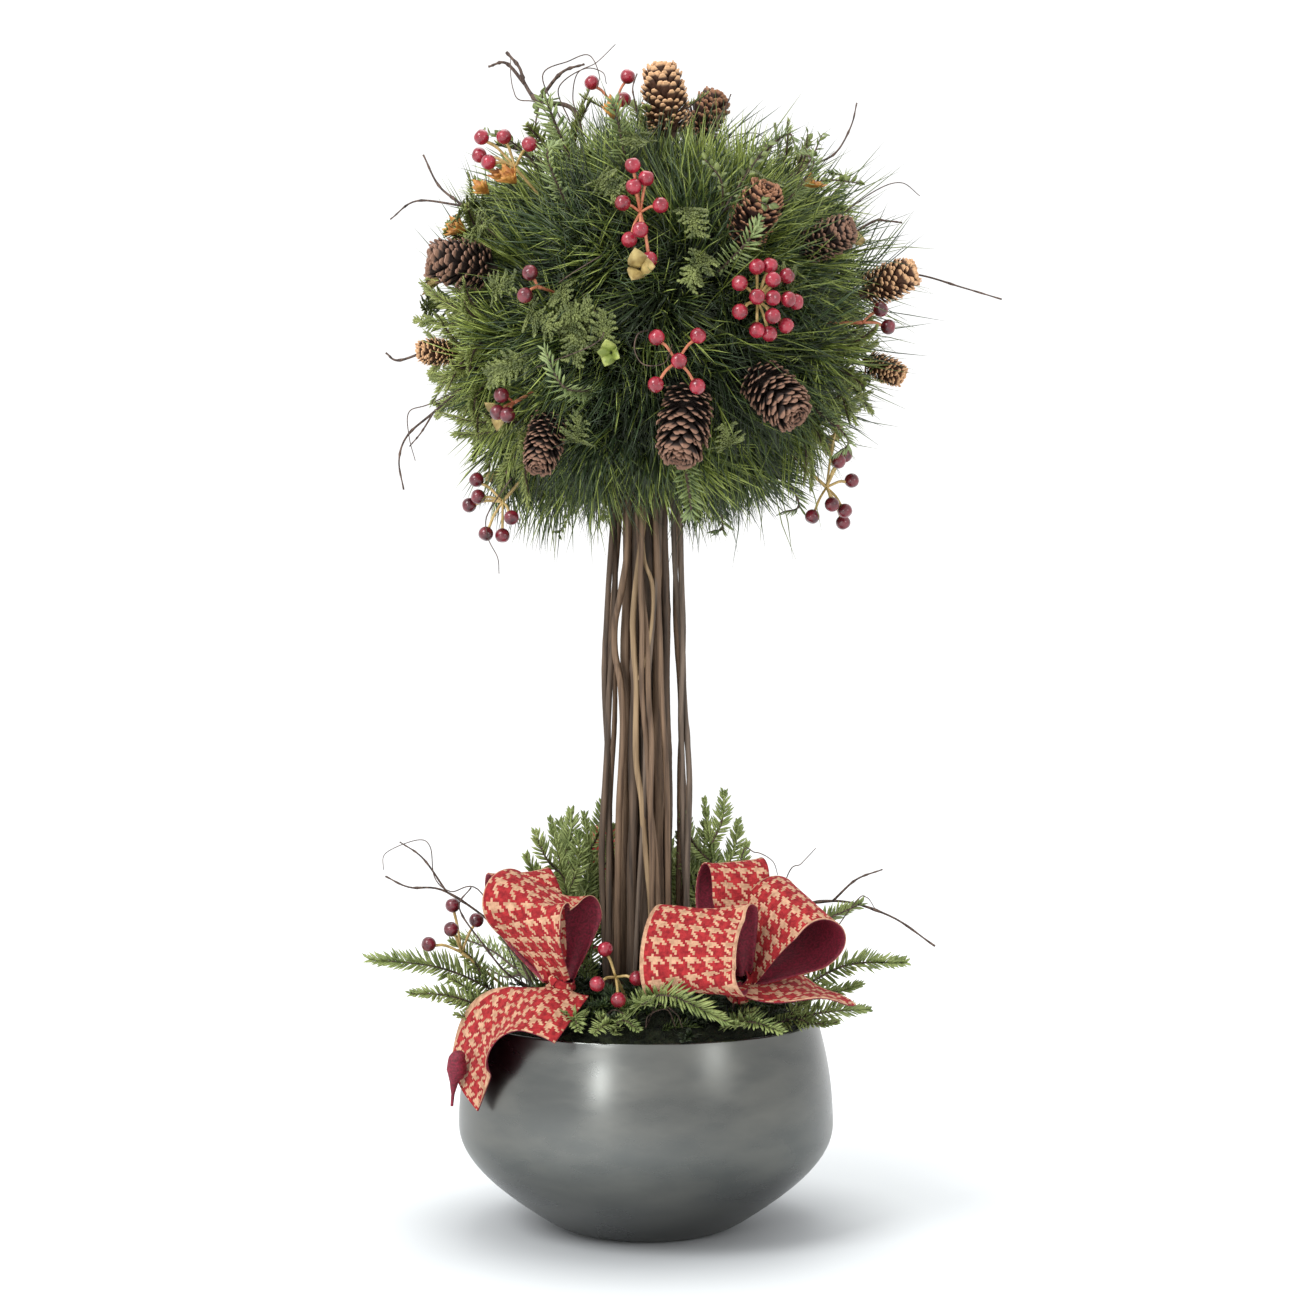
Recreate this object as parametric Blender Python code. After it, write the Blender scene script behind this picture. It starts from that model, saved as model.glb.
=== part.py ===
"""Artificial pine ball topiary in a metal bowl: a ball of needle tufts on a bundle of vine stems.

Metres, +Z up, the bowl's underside at Z = 0 and its axis on Z. The front of the piece faces -Y.
Places on the ball and round the bowl are given by azimuth, in degrees from the front (-Y) towards
+X, and by elevation above the horizontal.
"""

import random
from math import cos, pi, radians, sin, sqrt

import bmesh
import bpy
import numpy as np
from mathutils import Matrix, Vector
from mathutils.bvhtree import BVHTree

GAP = 0.0003                      # clearance between pieces that touch

# Bowl
POT_FOOT_RADIUS = 0.0610
POT_BELLY_RADIUS = 0.1306
POT_BELLY_HEIGHT = 0.072
POT_RIM_RADIUS = 0.1195
POT_HEIGHT = 0.1445
POT_WALL = 0.003
POT_SIDES = 36
OUTER_ROWS = 8
INNER_ROWS = 5

# Moss-covered foam in the bowl: a low dome with a flat crown
FILLING_EDGE_HEIGHT = 0.132
FILLING_CROWN_HEIGHT = 0.162
FILLING_CROWN_RADIUS = 0.042
SOCKET_FLOOR = 0.060

# Trunk: vine stems round a centre post
POST_RADIUS = 0.0105
POST_MIDDLE = 0.350
POST_TOP = 0.600
POST_SIDES = 12
STEM_RADIUS = 0.0038
BUNDLE_STEMS = 9
STEM_ROWS = 6
BUNDLE_FOOT_RADIUS = 0.0160
BUNDLE_TOP_RADIUS = 0.0118
WELL_RADIUS = 0.0260              # the hole in the ball that the stems run up into
WELL_CEILING = 0.5450
WELL_SIDES = 20

# Needle ball
BALL_CENTRE = Vector((0.004, 0.0, 0.6285))
BALL_CORE_RADIUS = 0.120
CORE_RUFFLE = 0.005               # how far the core's faces are drawn out into low points
TUFT_COUNT = 88
TUFT_TEETH = 6
TUFT_LENGTH = 0.046
TUFT_SPLAY = 0.020

# Trimmings
BERRY_RADIUS = 0.0052
PEDICEL_RADIUS = 0.0008
HUB_RADIUS = 0.0026
THIN_SIDES = 5                    # sides of vines, twigs, stalks and berries
PICK_RADIUS = 0.0012              # the wire that a bow stands on
KNOT_RADIUS = 0.0085
RIBBON_WIDTH = 0.0635
RIBBON_THICKNESS = 0.0013
FROND_TEETH = 5
FROND_THICKNESS = 0.0026

SEED = 7


# ---------------------------------------------------------------------------------------------
# Materials

def material(name, colour, roughness, metallic=0.0):
    """A plain Principled material of one colour (linear RGB)."""
    made = bpy.data.materials.new(name)
    made.use_nodes = True
    shader = made.node_tree.nodes["Principled BSDF"]
    shader.inputs["Base Color"].default_value = (*colour, 1.0)
    shader.inputs["Roughness"].default_value = roughness
    shader.inputs["Metallic"].default_value = metallic
    made.diffuse_color = (*colour, 1.0)
    return made


# ---------------------------------------------------------------------------------------------
# Meshes

def closed_object(name, points, faces, finish):
    """An object of one closed shell, with its faces turned outwards."""
    mesh = bpy.data.meshes.new(name)
    mesh.from_pydata([tuple(p) for p in points], [], [tuple(f) for f in faces])
    mesh.materials.append(finish)
    if enclosed_volume(mesh) < 0.0:
        mesh.flip_normals()
    made = bpy.data.objects.new(name, mesh)
    bpy.context.scene.collection.objects.link(made)
    return made


def enclosed_volume(mesh):
    """The volume inside a closed mesh, negative where its faces point inwards."""
    mesh.calc_loop_triangles()
    points = np.array([v.co for v in mesh.vertices])
    corners = points[np.array([t.vertices for t in mesh.loop_triangles])]
    return float(np.einsum("ij,ij->i", corners[:, 0], np.cross(corners[:, 1], corners[:, 2])).sum() / 6)


def lofted(name, rings, finish):
    """A closed skin over rings of equal length, with a flat cap at each end."""
    count, sides = len(rings), len(rings[0])
    points = [p for ring in rings for p in ring]
    faces = [tuple(range(sides)), tuple(range((count - 1) * sides, count * sides))[::-1]]
    for i in range(count - 1):
        for j in range(sides):
            a, b = i * sides + j, i * sides + (j + 1) % sides
            faces.append((a, a + sides, b + sides, b))
    return closed_object(name, points, faces, finish)


def smooth_path(points, steps):
    """Points along the Catmull-Rom curve through the given points, `steps` to each stretch."""
    knots = [Vector(p) for p in points]
    knots = [2 * knots[0] - knots[1]] + knots + [2 * knots[-1] - knots[-2]]
    curve = []
    for a, b, c, d in zip(knots, knots[1:], knots[2:], knots[3:]):
        for s in range(steps):
            t = s / steps
            curve.append(0.5 * (2 * b + (c - a) * t + (2 * a - 5 * b + 4 * c - d) * t * t
                                + (3 * b - a - 3 * c + d) * t ** 3))
    return curve + [knots[-2]]


def directions_along(path):
    """Unit tangents of a path, one to each point."""
    ends = [path[0]] + path + [path[-1]]
    return [(after - before).normalized() for before, after in zip(ends, ends[2:])]


def rings_along(path, radii, sides):
    """Rings square to a path, carried along it without twist."""
    across = None
    rings = []
    for point, tangent, radius in zip(path, directions_along(path), radii):
        if across is None:
            across = tangent.orthogonal()
        across = (across - tangent * across.dot(tangent)).normalized()
        up = tangent.cross(across)
        rings.append([point + across * radius * cos(2 * pi * j / sides)
                      + up * radius * sin(2 * pi * j / sides) for j in range(sides)])
    return rings


def tube(name, path, radii, sides, finish):
    """A round bar along a path; radii holds one radius, or one for each point."""
    if isinstance(radii, float):
        radii = [radii] * len(path)
    return lofted(name, rings_along(path, radii, sides), finish)


def turned(name, profile, sides, finish):
    """A solid turned round Z from a profile that starts and ends on the axis."""
    points = [(0.0, 0.0, profile[0][1])]
    for radius, height in profile[1:-1]:
        points += [(radius * cos(2 * pi * j / sides), radius * sin(2 * pi * j / sides), height)
                   for j in range(sides)]
    points.append((0.0, 0.0, profile[-1][1]))
    faces = []
    last = len(points) - 1
    rows = len(profile) - 2
    for j in range(sides):
        k = (j + 1) % sides
        faces.append((0, 1 + k, 1 + j))
        faces.append((last, 1 + (rows - 1) * sides + j, 1 + (rows - 1) * sides + k))
        for i in range(rows - 1):
            a, b = 1 + i * sides + j, 1 + i * sides + k
            faces.append((a, b, b + sides, a + sides))
    return closed_object(name, points, faces, finish)


def applied(made):
    """Replaces an object's mesh by its mesh with modifiers, and clears the modifiers."""
    depsgraph = bpy.context.evaluated_depsgraph_get()
    mesh = bpy.data.meshes.new_from_object(made.evaluated_get(depsgraph))
    made.modifiers.clear()
    made.data = mesh
    return made


def joined(base, pieces, operation="UNION"):
    """One Boolean of a whole group of pieces with the base, applied, with the pieces removed."""
    group = bpy.data.collections.new(base.name + "_pieces")
    bpy.context.scene.collection.children.link(group)
    for piece in pieces:
        group.objects.link(piece)
    boolean = base.modifiers.new("join", "BOOLEAN")
    boolean.operation = operation
    boolean.operand_type = "COLLECTION"
    boolean.collection = group
    boolean.solver = "MANIFOLD"
    applied(base)
    for piece in pieces:
        bpy.data.objects.remove(piece)
    bpy.data.collections.remove(group)
    return largest_shell(base)


def largest_shell(made):
    """Keeps the outer shell: loose scraps are dropped and sealed hollows are filled."""
    mesh = made.data
    parent = list(range(len(mesh.vertices)))

    def root(i):
        while parent[i] != i:
            parent[i] = parent[parent[i]]
            i = parent[i]
        return i

    for a, b in (edge.vertices for edge in mesh.edges):
        parent[root(a)] = root(b)
    shells = {}
    for face in mesh.polygons:
        shells.setdefault(root(face.vertices[0]), []).append(tuple(face.vertices))
    if len(shells) == 1:
        return made
    kept = max(shells.values(), key=len)
    used = sorted({i for face in kept for i in face})
    place = {old: new for new, old in enumerate(used)}
    outer = bpy.data.meshes.new(made.name)
    outer.from_pydata([mesh.vertices[i].co[:] for i in used], [],
                      [tuple(place[i] for i in face) for face in kept])
    for finish in mesh.materials:
        outer.materials.append(finish)
    made.data = outer
    return made


def ball_mesh(name, centre, radius, subdivisions, finish, ruffle=0.0):
    """A closed ball of equal triangles, each drawn out to a low point where it is ruffled."""
    shape = bmesh.new()
    bmesh.ops.create_icosphere(shape, subdivisions=subdivisions, radius=radius)
    if ruffle:
        bmesh.ops.poke(shape, faces=shape.faces[:], offset=ruffle)
    mesh = bpy.data.meshes.new(name)
    shape.to_mesh(mesh)
    shape.free()
    for vertex in mesh.vertices:
        vertex.co += centre
    mesh.materials.append(finish)
    made = bpy.data.objects.new(name, mesh)
    bpy.context.scene.collection.objects.link(made)
    return made


def surface_of(made):
    """A search tree over an object's faces, for seating other pieces on it."""
    mesh = made.data
    return BVHTree.FromPolygons([v.co for v in mesh.vertices], [f.vertices[:] for f in mesh.polygons])


def settled(made, bed):
    """Lowers a piece straight down until it stands a gap clear of the filling."""
    drops = [vertex.co.z - hit.z for vertex in made.data.vertices
             if (hit := bed.ray_cast(vertex.co + Vector((0, 0, 1)), Vector((0, 0, -1)))[0])]
    made.data.transform(Matrix.Translation((0, 0, GAP - min(drops))))
    return made


def outward(azimuth, elevation):
    """The unit vector at an azimuth from the front and an elevation."""
    a, e = radians(azimuth), radians(elevation)
    return Vector((sin(a) * cos(e), -cos(a) * cos(e), sin(e)))


# ---------------------------------------------------------------------------------------------
# Bowl, filling and trunk

def bowl_radius(height):
    """Outer radius: a quarter sine from the foot to the belly, then a shallow parabola to the rim."""
    if height < POT_BELLY_HEIGHT:
        share = sin(pi / 2 * height / POT_BELLY_HEIGHT)
        return POT_FOOT_RADIUS + (POT_BELLY_RADIUS - POT_FOOT_RADIUS) * share
    rise = (height - POT_BELLY_HEIGHT) / (POT_HEIGHT - POT_BELLY_HEIGHT)
    return POT_BELLY_RADIUS - (POT_BELLY_RADIUS - POT_RIM_RADIUS) * rise * rise


def inner_profile(inset):
    """Points up the inner face of the bowl, moved in by an inset, from its floor to the filling's edge."""
    rise = FILLING_EDGE_HEIGHT - POT_WALL
    heights = [POT_WALL + rise * (i / INNER_ROWS) ** 1.5 for i in range(INNER_ROWS + 1)]
    points = [(bowl_radius(h - POT_WALL) - POT_WALL - inset, h) for h in heights]
    return [(points[0][0], points[0][1] + inset)] + points[1:]


def bowl(finish):
    """The metal bowl: an outer and an inner face that meet in a flat rim."""
    heights = [POT_HEIGHT * (i / OUTER_ROWS) ** 1.5 for i in range(OUTER_ROWS + 1)]
    outside = [(bowl_radius(h), h) for h in heights]
    inside = [(POT_RIM_RADIUS - POT_WALL, POT_HEIGHT)] + inner_profile(0.0)[::-1]
    profile = [(0.0, 0.0)] + outside + inside + [(0.0, POT_WALL)]
    return turned("pot", profile, POT_SIDES, finish)


def filling(finish):
    """Foam that fills the bowl to below its rim and rises to a flat crown, with the post's socket."""
    side = inner_profile(2 * GAP)
    edge_radius = side[-1][0]
    dome = []
    for i in range(1, 4):
        reach = edge_radius + (FILLING_CROWN_RADIUS - edge_radius) * i / 3
        rise = sin(pi / 2 * i / 3)
        height = FILLING_EDGE_HEIGHT + (FILLING_CROWN_HEIGHT - FILLING_EDGE_HEIGHT) * rise
        dome.append((reach, height))
    profile = [(0.0, side[0][1])] + side + dome + [(0.0, FILLING_CROWN_HEIGHT)]
    made = turned("pot_filling", profile, POT_SIDES, finish)
    socket = tube("socket", [Vector((0, 0, SOCKET_FLOOR)), Vector((0, 0, 0.2))],
                  POST_RADIUS + GAP, POST_SIDES, finish)
    return joined(made, [socket], "DIFFERENCE")


def stem_path(foot_angle, foot_radius, top_angle, top_radius, bow):
    """A vine's middle line: its angle and radius change evenly up the trunk, with a bow halfway."""
    foot, top = FILLING_CROWN_HEIGHT + GAP, WELL_CEILING - GAP
    path = []
    for i in range(STEM_ROWS + 1):
        t = i / STEM_ROWS
        angle = radians(foot_angle + (top_angle - foot_angle) * t)
        radius = foot_radius + (top_radius - foot_radius) * t + bow * sin(pi * t)
        path.append(Vector((radius * sin(angle), -radius * cos(angle), foot + (top - foot) * t)))
    return path


def stem_bundle(finish):
    """The trunk: a centre post with vines laid round it, fused where they touch."""
    dice = random.Random(SEED)
    heights = (SOCKET_FLOOR + GAP, POST_MIDDLE, POST_TOP)
    post = tube("stem_bundle", [Vector((0, 0, z)) for z in heights], POST_RADIUS, POST_SIDES, finish)
    vines = []
    for i in range(BUNDLE_STEMS):
        angle = 360 * i / BUNDLE_STEMS + dice.uniform(-6, 6)
        path = stem_path(angle, BUNDLE_FOOT_RADIUS + dice.uniform(-0.001, 0.002),
                         angle + dice.uniform(-25, 25), BUNDLE_TOP_RADIUS, dice.uniform(-0.001, 0.002))
        thickness = STEM_RADIUS * dice.uniform(0.85, 1.15)
        radii = [thickness * (1.08 - 0.2 * k / STEM_ROWS) for k in range(STEM_ROWS + 1)]
        vines.append(tube(f"vine_{i}", path, radii, THIN_SIDES, finish))
    return joined(post, vines)


# Each loose vine: angle and radius at the foot, angle and radius at the top, bow, thickness
LOOSE_STEMS = (
    (-72, 0.0285, -82, 0.0200, 0.0035, 0.0034),
    (-108, 0.0255, -116, 0.0200, 0.0040, 0.0030),
    (78, 0.0290, 72, 0.0198, 0.0030, 0.0032),
    (112, 0.0265, 104, 0.0198, 0.0030, 0.0030),
    (22, 0.0250, -18, 0.0198, 0.0010, 0.0030),
)


def loose_stem(number, foot_angle, foot_radius, top_angle, top_radius, bow, thickness, finish):
    """A vine that stands clear of the bundle."""
    path = stem_path(foot_angle, foot_radius, top_angle, top_radius, bow)
    return tube(f"loose_stem_{number}", path, thickness, THIN_SIDES, finish)


# ---------------------------------------------------------------------------------------------
# Needle ball

class KeepClear:
    """The room that trimmings take on the ball, as balls along their parts."""

    def __init__(self):
        self.centres = []
        self.radii = []

    def add(self, path, radii):
        """Fills a path with balls, a step apart of about their radius."""
        for a, b, ra, rb in zip(path, path[1:], radii, radii[1:]):
            steps = max(1, int((b - a).length / max(0.002, min(ra, rb))) + 1)
            for s in range(steps + 1):
                t = s / steps
                self.centres.append(tuple(a.lerp(b, t)))
                self.radii.append(ra + (rb - ra) * t)

    def meets(self, path, radii):
        """Whether any ball of a path lies on the room that is taken."""
        taken = np.array(self.centres)
        sizes = np.array(self.radii)
        for point, radius in zip(path, radii):
            if (np.linalg.norm(taken - np.array(point), axis=1) < sizes + radius + GAP).any():
                return True
        return False


def tuft(name, root, direction, length, splay, turn, finish):
    """A burst of needles as one closed star-shaped funnel: a root, valleys halfway and pointed teeth."""
    across = direction.orthogonal().normalized()
    up = direction.cross(across)
    points = [root, root + direction * length * 0.62]
    for i in range(TUFT_TEETH):
        for reach, radius, shift in ((0.50, 0.40, 0.0), (1.0, 1.0, 0.5)):
            angle = turn + 2 * pi * (i + shift) / TUFT_TEETH
            points.append(root + direction * length * reach
                          + (across * cos(angle) + up * sin(angle)) * splay * radius)
    faces = []
    for i in range(TUFT_TEETH):
        valley, tip, following = 2 + 2 * i, 3 + 2 * i, 2 + (2 * i + 2) % (2 * TUFT_TEETH)
        faces += [(0, tip, valley), (0, following, tip), (1, valley, tip), (1, tip, following)]
    return closed_object(name, points, faces, finish)


def pine_ball(core, clear, finish):
    """Fuses needle tufts on the core, evenly over the ball, where no trimming or stem is in the way."""
    dice = random.Random(SEED)
    golden_turn = pi * (3 - sqrt(5))
    tufts = []
    for i in range(TUFT_COUNT):
        height = 1 - 2 * (i + 0.5) / TUFT_COUNT
        around = golden_turn * i
        level = sqrt(1 - height * height)
        seat = Vector((level * cos(around), level * sin(around), height))
        lean = Vector((dice.uniform(-1, 1), dice.uniform(-1, 1), dice.uniform(-1, 1))) * 0.22
        direction = (seat + lean).normalized()
        length = TUFT_LENGTH * dice.uniform(0.86, 1.16)
        turn = dice.uniform(0, 2 * pi)
        root = BALL_CENTRE + seat * (BALL_CORE_RADIUS - 0.006)
        for share in (1.0, 0.75, 0.5):
            splay = TUFT_SPLAY * share
            path = [root + direction * length * k / 8 for k in range(2, 9)]
            if not clear.meets(path, [splay * k / 8 for k in range(2, 9)]):
                tufts.append(tuft(f"tuft_{i}", root, direction, length, splay, turn, finish))
                break
    return joined(core, tufts)


def core_with_well(finish):
    """The ball's core, with the well that the stems run up into and the post's socket above it."""
    core = ball_mesh("pine_ball", BALL_CENTRE, BALL_CORE_RADIUS, 3, finish, CORE_RUFFLE)
    below = Vector((0, 0, BALL_CENTRE.z - BALL_CORE_RADIUS - 0.03))
    well = tube("well", [below, Vector((0, 0, WELL_CEILING))], WELL_RADIUS, WELL_SIDES, finish)
    socket = tube("socket", [below, Vector((0, 0, POST_TOP + GAP))], POST_RADIUS + GAP, POST_SIDES, finish)
    return joined(core, [well, socket], "DIFFERENCE")


def seat_on_ball(tree, towards, radius=0.0):
    """A point just off the ball's core, on the line from its centre towards a point."""
    direction = (towards - BALL_CENTRE).normalized()
    hit = tree.ray_cast(BALL_CENTRE + direction * 0.3, -direction)[0]
    return hit + direction * (2 * GAP + radius)


# ---------------------------------------------------------------------------------------------
# Cones, berries and twigs on the ball

# Each cone: azimuth, elevation and distance of its middle from the ball's centre; the azimuth and
# elevation that its tip points to; length and width.
CONES = (
    (8, 66, 0.158, -60, 80, 0.052, 0.033),
    (110, 75, 0.152, 75, 58, 0.042, 0.030),
    (29, 22, 0.150, 35, 48, 0.044, 0.031),
    (-60, 12, 0.150, -78, 8, 0.044, 0.035),
    (75, 8, 0.170, 80, 22, 0.042, 0.028),
    (34, -23, 0.156, 50, -42, 0.048, 0.036),
    (9, -32, 0.156, -20, -66, 0.056, 0.037),
    (88, -11, 0.166, 80, -24, 0.031, 0.021),
    (-73, -9, 0.155, -80, 0, 0.027, 0.020),
    (-36, -37, 0.152, -25, -62, 0.046, 0.028),
    (55, 18, 0.150, 66, 20, 0.040, 0.028),
    (152, 28, 0.156, 150, 46, 0.048, 0.033),
    (-140, 4, 0.153, -130, -20, 0.050, 0.034),
    (176, -30, 0.154, 170, -58, 0.054, 0.036),
)


def cone(number, azimuth, elevation, distance, tip_azimuth, tip_elevation, length, width, tree, clear,
         finish):
    """A pine cone: rows of scales that stand out in turn, on a stalk that is seated on the ball's core."""
    middle = BALL_CENTRE + outward(azimuth, elevation) * distance
    axis = outward(tip_azimuth, tip_elevation)
    base = middle - axis * length / 2
    foot = seat_on_ball(tree, base - axis * 0.006)
    rows, sides = 6, 8
    path = [foot, base - axis * 0.002]
    radii = [0.0006, 0.0020]
    for i in range(rows):
        t = i / (rows - 1)
        path.append(base + axis * length * (0.05 + 0.95 * t))
        radii.append(width / 2 * (0.62 + 0.42 * sin(pi * (0.12 + 0.62 * t)) - 0.78 * t ** 3))
    rings = rings_along(path, radii, sides)
    for i in range(rows - 1):
        ring, centre = rings[2 + i], path[2 + i]
        rings[2 + i] = [centre + (p - centre) * (1.12 if (i + j) % 2 else 0.86)
                        for j, p in enumerate(ring)]
    clear.add(path, [r * 1.15 for r in radii])
    return lofted(f"cone_{number:02d}", rings, finish)


def berry_stalk(name, start, end, finish):
    """A thin pedicel that swells into a round berry at its end."""
    ahead = (end - start).normalized() * BERRY_RADIUS
    path = [start, end - ahead, end - ahead * 0.4, end + ahead * 0.4, end + ahead]
    radii = [PEDICEL_RADIUS, PEDICEL_RADIUS, BERRY_RADIUS, BERRY_RADIUS, BERRY_RADIUS * 0.2]
    return lofted(name, rings_along(path, radii, THIN_SIDES), finish), path, radii


# Each spray on the ball: azimuth, elevation and distance of its hub from the ball's centre, and its
# berries as (azimuth, elevation, length) of each pedicel from the hub.
BALL_BERRIES = {
    "umbel": (27, -1, 0.150, [(27 + 62 * cos(a), -1 + 62 * sin(a), 0.025)
                              for a in np.arange(7) * 2 * pi / 7] + [(27, -1, 0.020)]),
    "star": (6, -16, 0.158, [(-50, 40, 0.022), (60, 45, 0.022), (-60, -45, 0.022), (50, -45, 0.024),
                             (5, -5, 0.014)]),
    "crown": (-3, 21, 0.150, [(-40, 75, 0.030), (30, 70, 0.022), (-60, 20, 0.014), (55, 10, 0.016),
                              (0, -40, 0.022), (30, -70, 0.034)]),
    "top_left": (-45, 76, 0.152, [(-80, 45, 0.022), (60, 60, 0.022), (20, 0, 0.020)]),
    "left": (-53, 40, 0.150, [(-75, 40, 0.030), (-95, 20, 0.026), (-60, 5, 0.020), (30, 30, 0.024)]),
    "low_left": (-80, -50, 0.163, [(-95, 40, 0.024), (-100, -5, 0.024), (-60, -60, 0.026),
                                   (20, -30, 0.024), (0, -80, 0.024)]),
    "low_right": (88, -43, 0.167, [(60, 80, 0.044), (95, 60, 0.026), (110, 15, 0.020),
                                   (60, -50, 0.022), (10, -40, 0.020), (-60, -60, 0.024),
                                   (120, -60, 0.028)]),
    "right": (70, -2, 0.152, [(60, 30, 0.016), (85, -10, 0.018)]),
    "back_right": (138, -12, 0.152, [(120, 40, 0.024), (160, 45, 0.024), (120, -45, 0.024),
                                     (165, -40, 0.024)]),
    "back_left": (-158, 40, 0.152, [(-130, 60, 0.024), (170, 55, 0.024), (-140, 5, 0.024),
                                    (175, 10, 0.024)]),
}


def ball_berries(name, azimuth, elevation, distance, berries, tree, clear, finish):
    """A spray of berries round a hub, on one stalk that is seated on the ball's core."""
    hub = BALL_CENTRE + outward(azimuth, elevation) * distance
    foot = seat_on_ball(tree, hub)
    stalk_path, stalk_radii = [foot, hub], [0.0007, 0.0014]
    stalk = tube(f"berries_{name}", stalk_path, stalk_radii, THIN_SIDES, finish)
    clear.add(stalk_path, stalk_radii)
    pieces = [ball_mesh("hub", hub, HUB_RADIUS, 1, finish)]
    for berry_azimuth, berry_elevation, length in berries:
        end = hub + outward(berry_azimuth, berry_elevation) * length
        berry, path, radii = berry_stalk("berry", hub, end, finish)
        clear.add(path, radii)
        pieces.append(berry)
    return joined(stalk, pieces)


# Each twig on the ball: where it leaves the core (azimuth, elevation), then its run and its forks as
# offsets from the ball's centre, in millimetres.
BALL_TWIGS = {
    "gnarled": ((-58, 64), [(-54, -30, 144), (-78, -22, 152), (-88, -16, 165), (-92, -14, 177),
                            (-101, -12, 188)],
                [(2, [(-62, -36, 168), (-46, -40, 173)]), (3, [(-101, -18, 179), (-113, -20, 176)])],
                0.0019),
    "fork": ((-70, 26), [(-130, -30, 78), (-147, -24, 93), (-158, -20, 115)],
             [(1, [(-162, -26, 82), (-180, -28, 69)])], 0.0012),
    "bud": ((-82, -3), [(-146, -18, -16), (-174, -20, -27), (-184, -20, -22)], [], 0.0013),
    "tendril": ((-72, -16), [(-150, -30, -64), (-168, -30, -80), (-174, -28, -97), (-171, -26, -117)],
                [], 0.0010),
    "reaching": ((98, 15), [(150, 24, 42), (188, 18, 38), (218, 10, 28), (245, 0, 18)], [], 0.0010),
    "upright": ((60, 45), [(112, -44, 104), (126, -46, 112), (136, -44, 130), (140, -42, 146)], [], 0.0009),
}


def twig(name, path, thickness, finish):
    """A tapering twig along a path."""
    count = len(path) - 1
    radii = [thickness * (0.45 if i == 0 else 1.0 - 0.55 * i / count) for i in range(count + 1)]
    return tube(name, path, radii, THIN_SIDES, finish), radii


def ball_twig(name, seat, run, forks, thickness, tree, clear, finish):
    """A wiry twig that leaves the ball's core and reaches out of the needles, with its forks."""
    run = [BALL_CENTRE + Vector(p) / 1000 for p in run]
    foot = seat_on_ball(tree, BALL_CENTRE + outward(*seat))
    path = smooth_path([foot] + run, 2)
    made, radii = twig(f"twig_{name}", path, thickness, finish)
    clear.add(path, radii)
    side_twigs = []
    for start, points in forks:
        fork_path = smooth_path([run[start - 1]] + [BALL_CENTRE + Vector(p) / 1000 for p in points], 2)
        side, fork_radii = twig("side", fork_path, thickness * 0.75, finish)
        clear.add(fork_path, fork_radii)
        side_twigs.append(side)
    return joined(made, side_twigs) if side_twigs else made


# ---------------------------------------------------------------------------------------------
# Greens round the bowl

# Each sprig: foot (x, y) on the filling, the point halfway and the tip, in millimetres from the origin.
FIR_SPRIGS = {
    "left": [((-84, 4), (-138, -14, 180), (-191, -20, 188), 0.028)],
    "left_low": [((-94, -18), (-132, -34, 164), (-160, -46, 168), 0.020)],
    "left_upright": [((-40, 12), (-54, 8, 225), (-67, 2, 283), 0.032),
                     ((-40, 12), (-38, 34, 230), (-44, 36, 284), 0.032)],
    "right_upright": [((44, 14), (48, 12, 232), (41, 4, 297), 0.028),
                      ((44, 14), (40, 34, 220), (30, 40, 270), 0.030)],
    "right": [((88, 6), (136, 0, 180), (181, -4, 184), 0.026)],
    "right_high": [((78, 36), (116, 36, 200), (153, 26, 222), 0.026)],
    "right_low": [((84, -48), (120, -52, 156), (152, -36, 156), 0.022)],
    "front_arch": [((-14, -78), (12, -124, 168), (54, -138, 155), 0.024)],
    "front_right": [((52, -78), (68, -106, 158), (88, -122, 154), 0.022)],
    "front_left": [((-20, -84), (-27, -106, 156), (-34, -125, 153), 0.018)],
    "back_left": [((-70, 46), (-110, 78, 180), (-142, 102, 190), 0.028)],
    "back": [((-50, 78), (-68, 112, 180), (-78, 148, 186), 0.028)],
    "back_right": [((60, 68), (92, 104, 182), (112, 138, 192), 0.028)],
    "back_upright": [((22, 50), (24, 58, 218), (16, 64, 268), 0.032)],
}


def frond(name, foot, middle, tip, width, finish):
    """A flat fir sprig: a blade along a curved rib, its edges cut to the rib in swept-forward teeth."""
    path = smooth_path([foot, middle, tip], FROND_TEETH)
    tangents = directions_along(path)
    facing = Vector((0.1, -0.75 if middle.y < 0.035 else 0.75, 0.65))
    count = len(path) - 1
    rings = []
    for i, (point, tangent) in enumerate(zip(path, tangents)):
        t = i / count
        across = tangent.cross(facing).normalized()
        up = across.cross(tangent)
        outline = width / 2 * min(1.0, 4.0 * t) * (1.05 - 0.55 * t)
        tooth = i % 2 == 1
        reach = max(outline if tooth else outline * 0.34, 0.0008)
        if i == count:
            reach = 0.0005
        sweep = tangent * (width * 0.16 if tooth else 0.0)
        thick = FROND_THICKNESS / 2 * (1.0 - 0.5 * t)
        rings.append([point + across * reach + sweep, point + up * thick,
                      point - across * reach + sweep, point - up * thick])
    return lofted(name, rings, finish)


def fir_sprig(name, blades, tree, finish):
    """A sprig of one or two blades that share their foot on the filling."""
    made = []
    for number, (foot, middle, tip, width) in enumerate(blades):
        seat = tree.ray_cast(Vector((foot[0], foot[1], 1000)) / 1000, Vector((0, 0, -1)))[0]
        start = seat + Vector((0, 0, 2 * GAP + FROND_THICKNESS / 2))
        made.append(frond(f"fir_{name}" if number == 0 else "blade", start, Vector(middle) / 1000,
                          Vector(tip) / 1000, width, finish))
    return settled(joined(made[0], made[1:]) if len(made) > 1 else made[0], tree)


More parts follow.
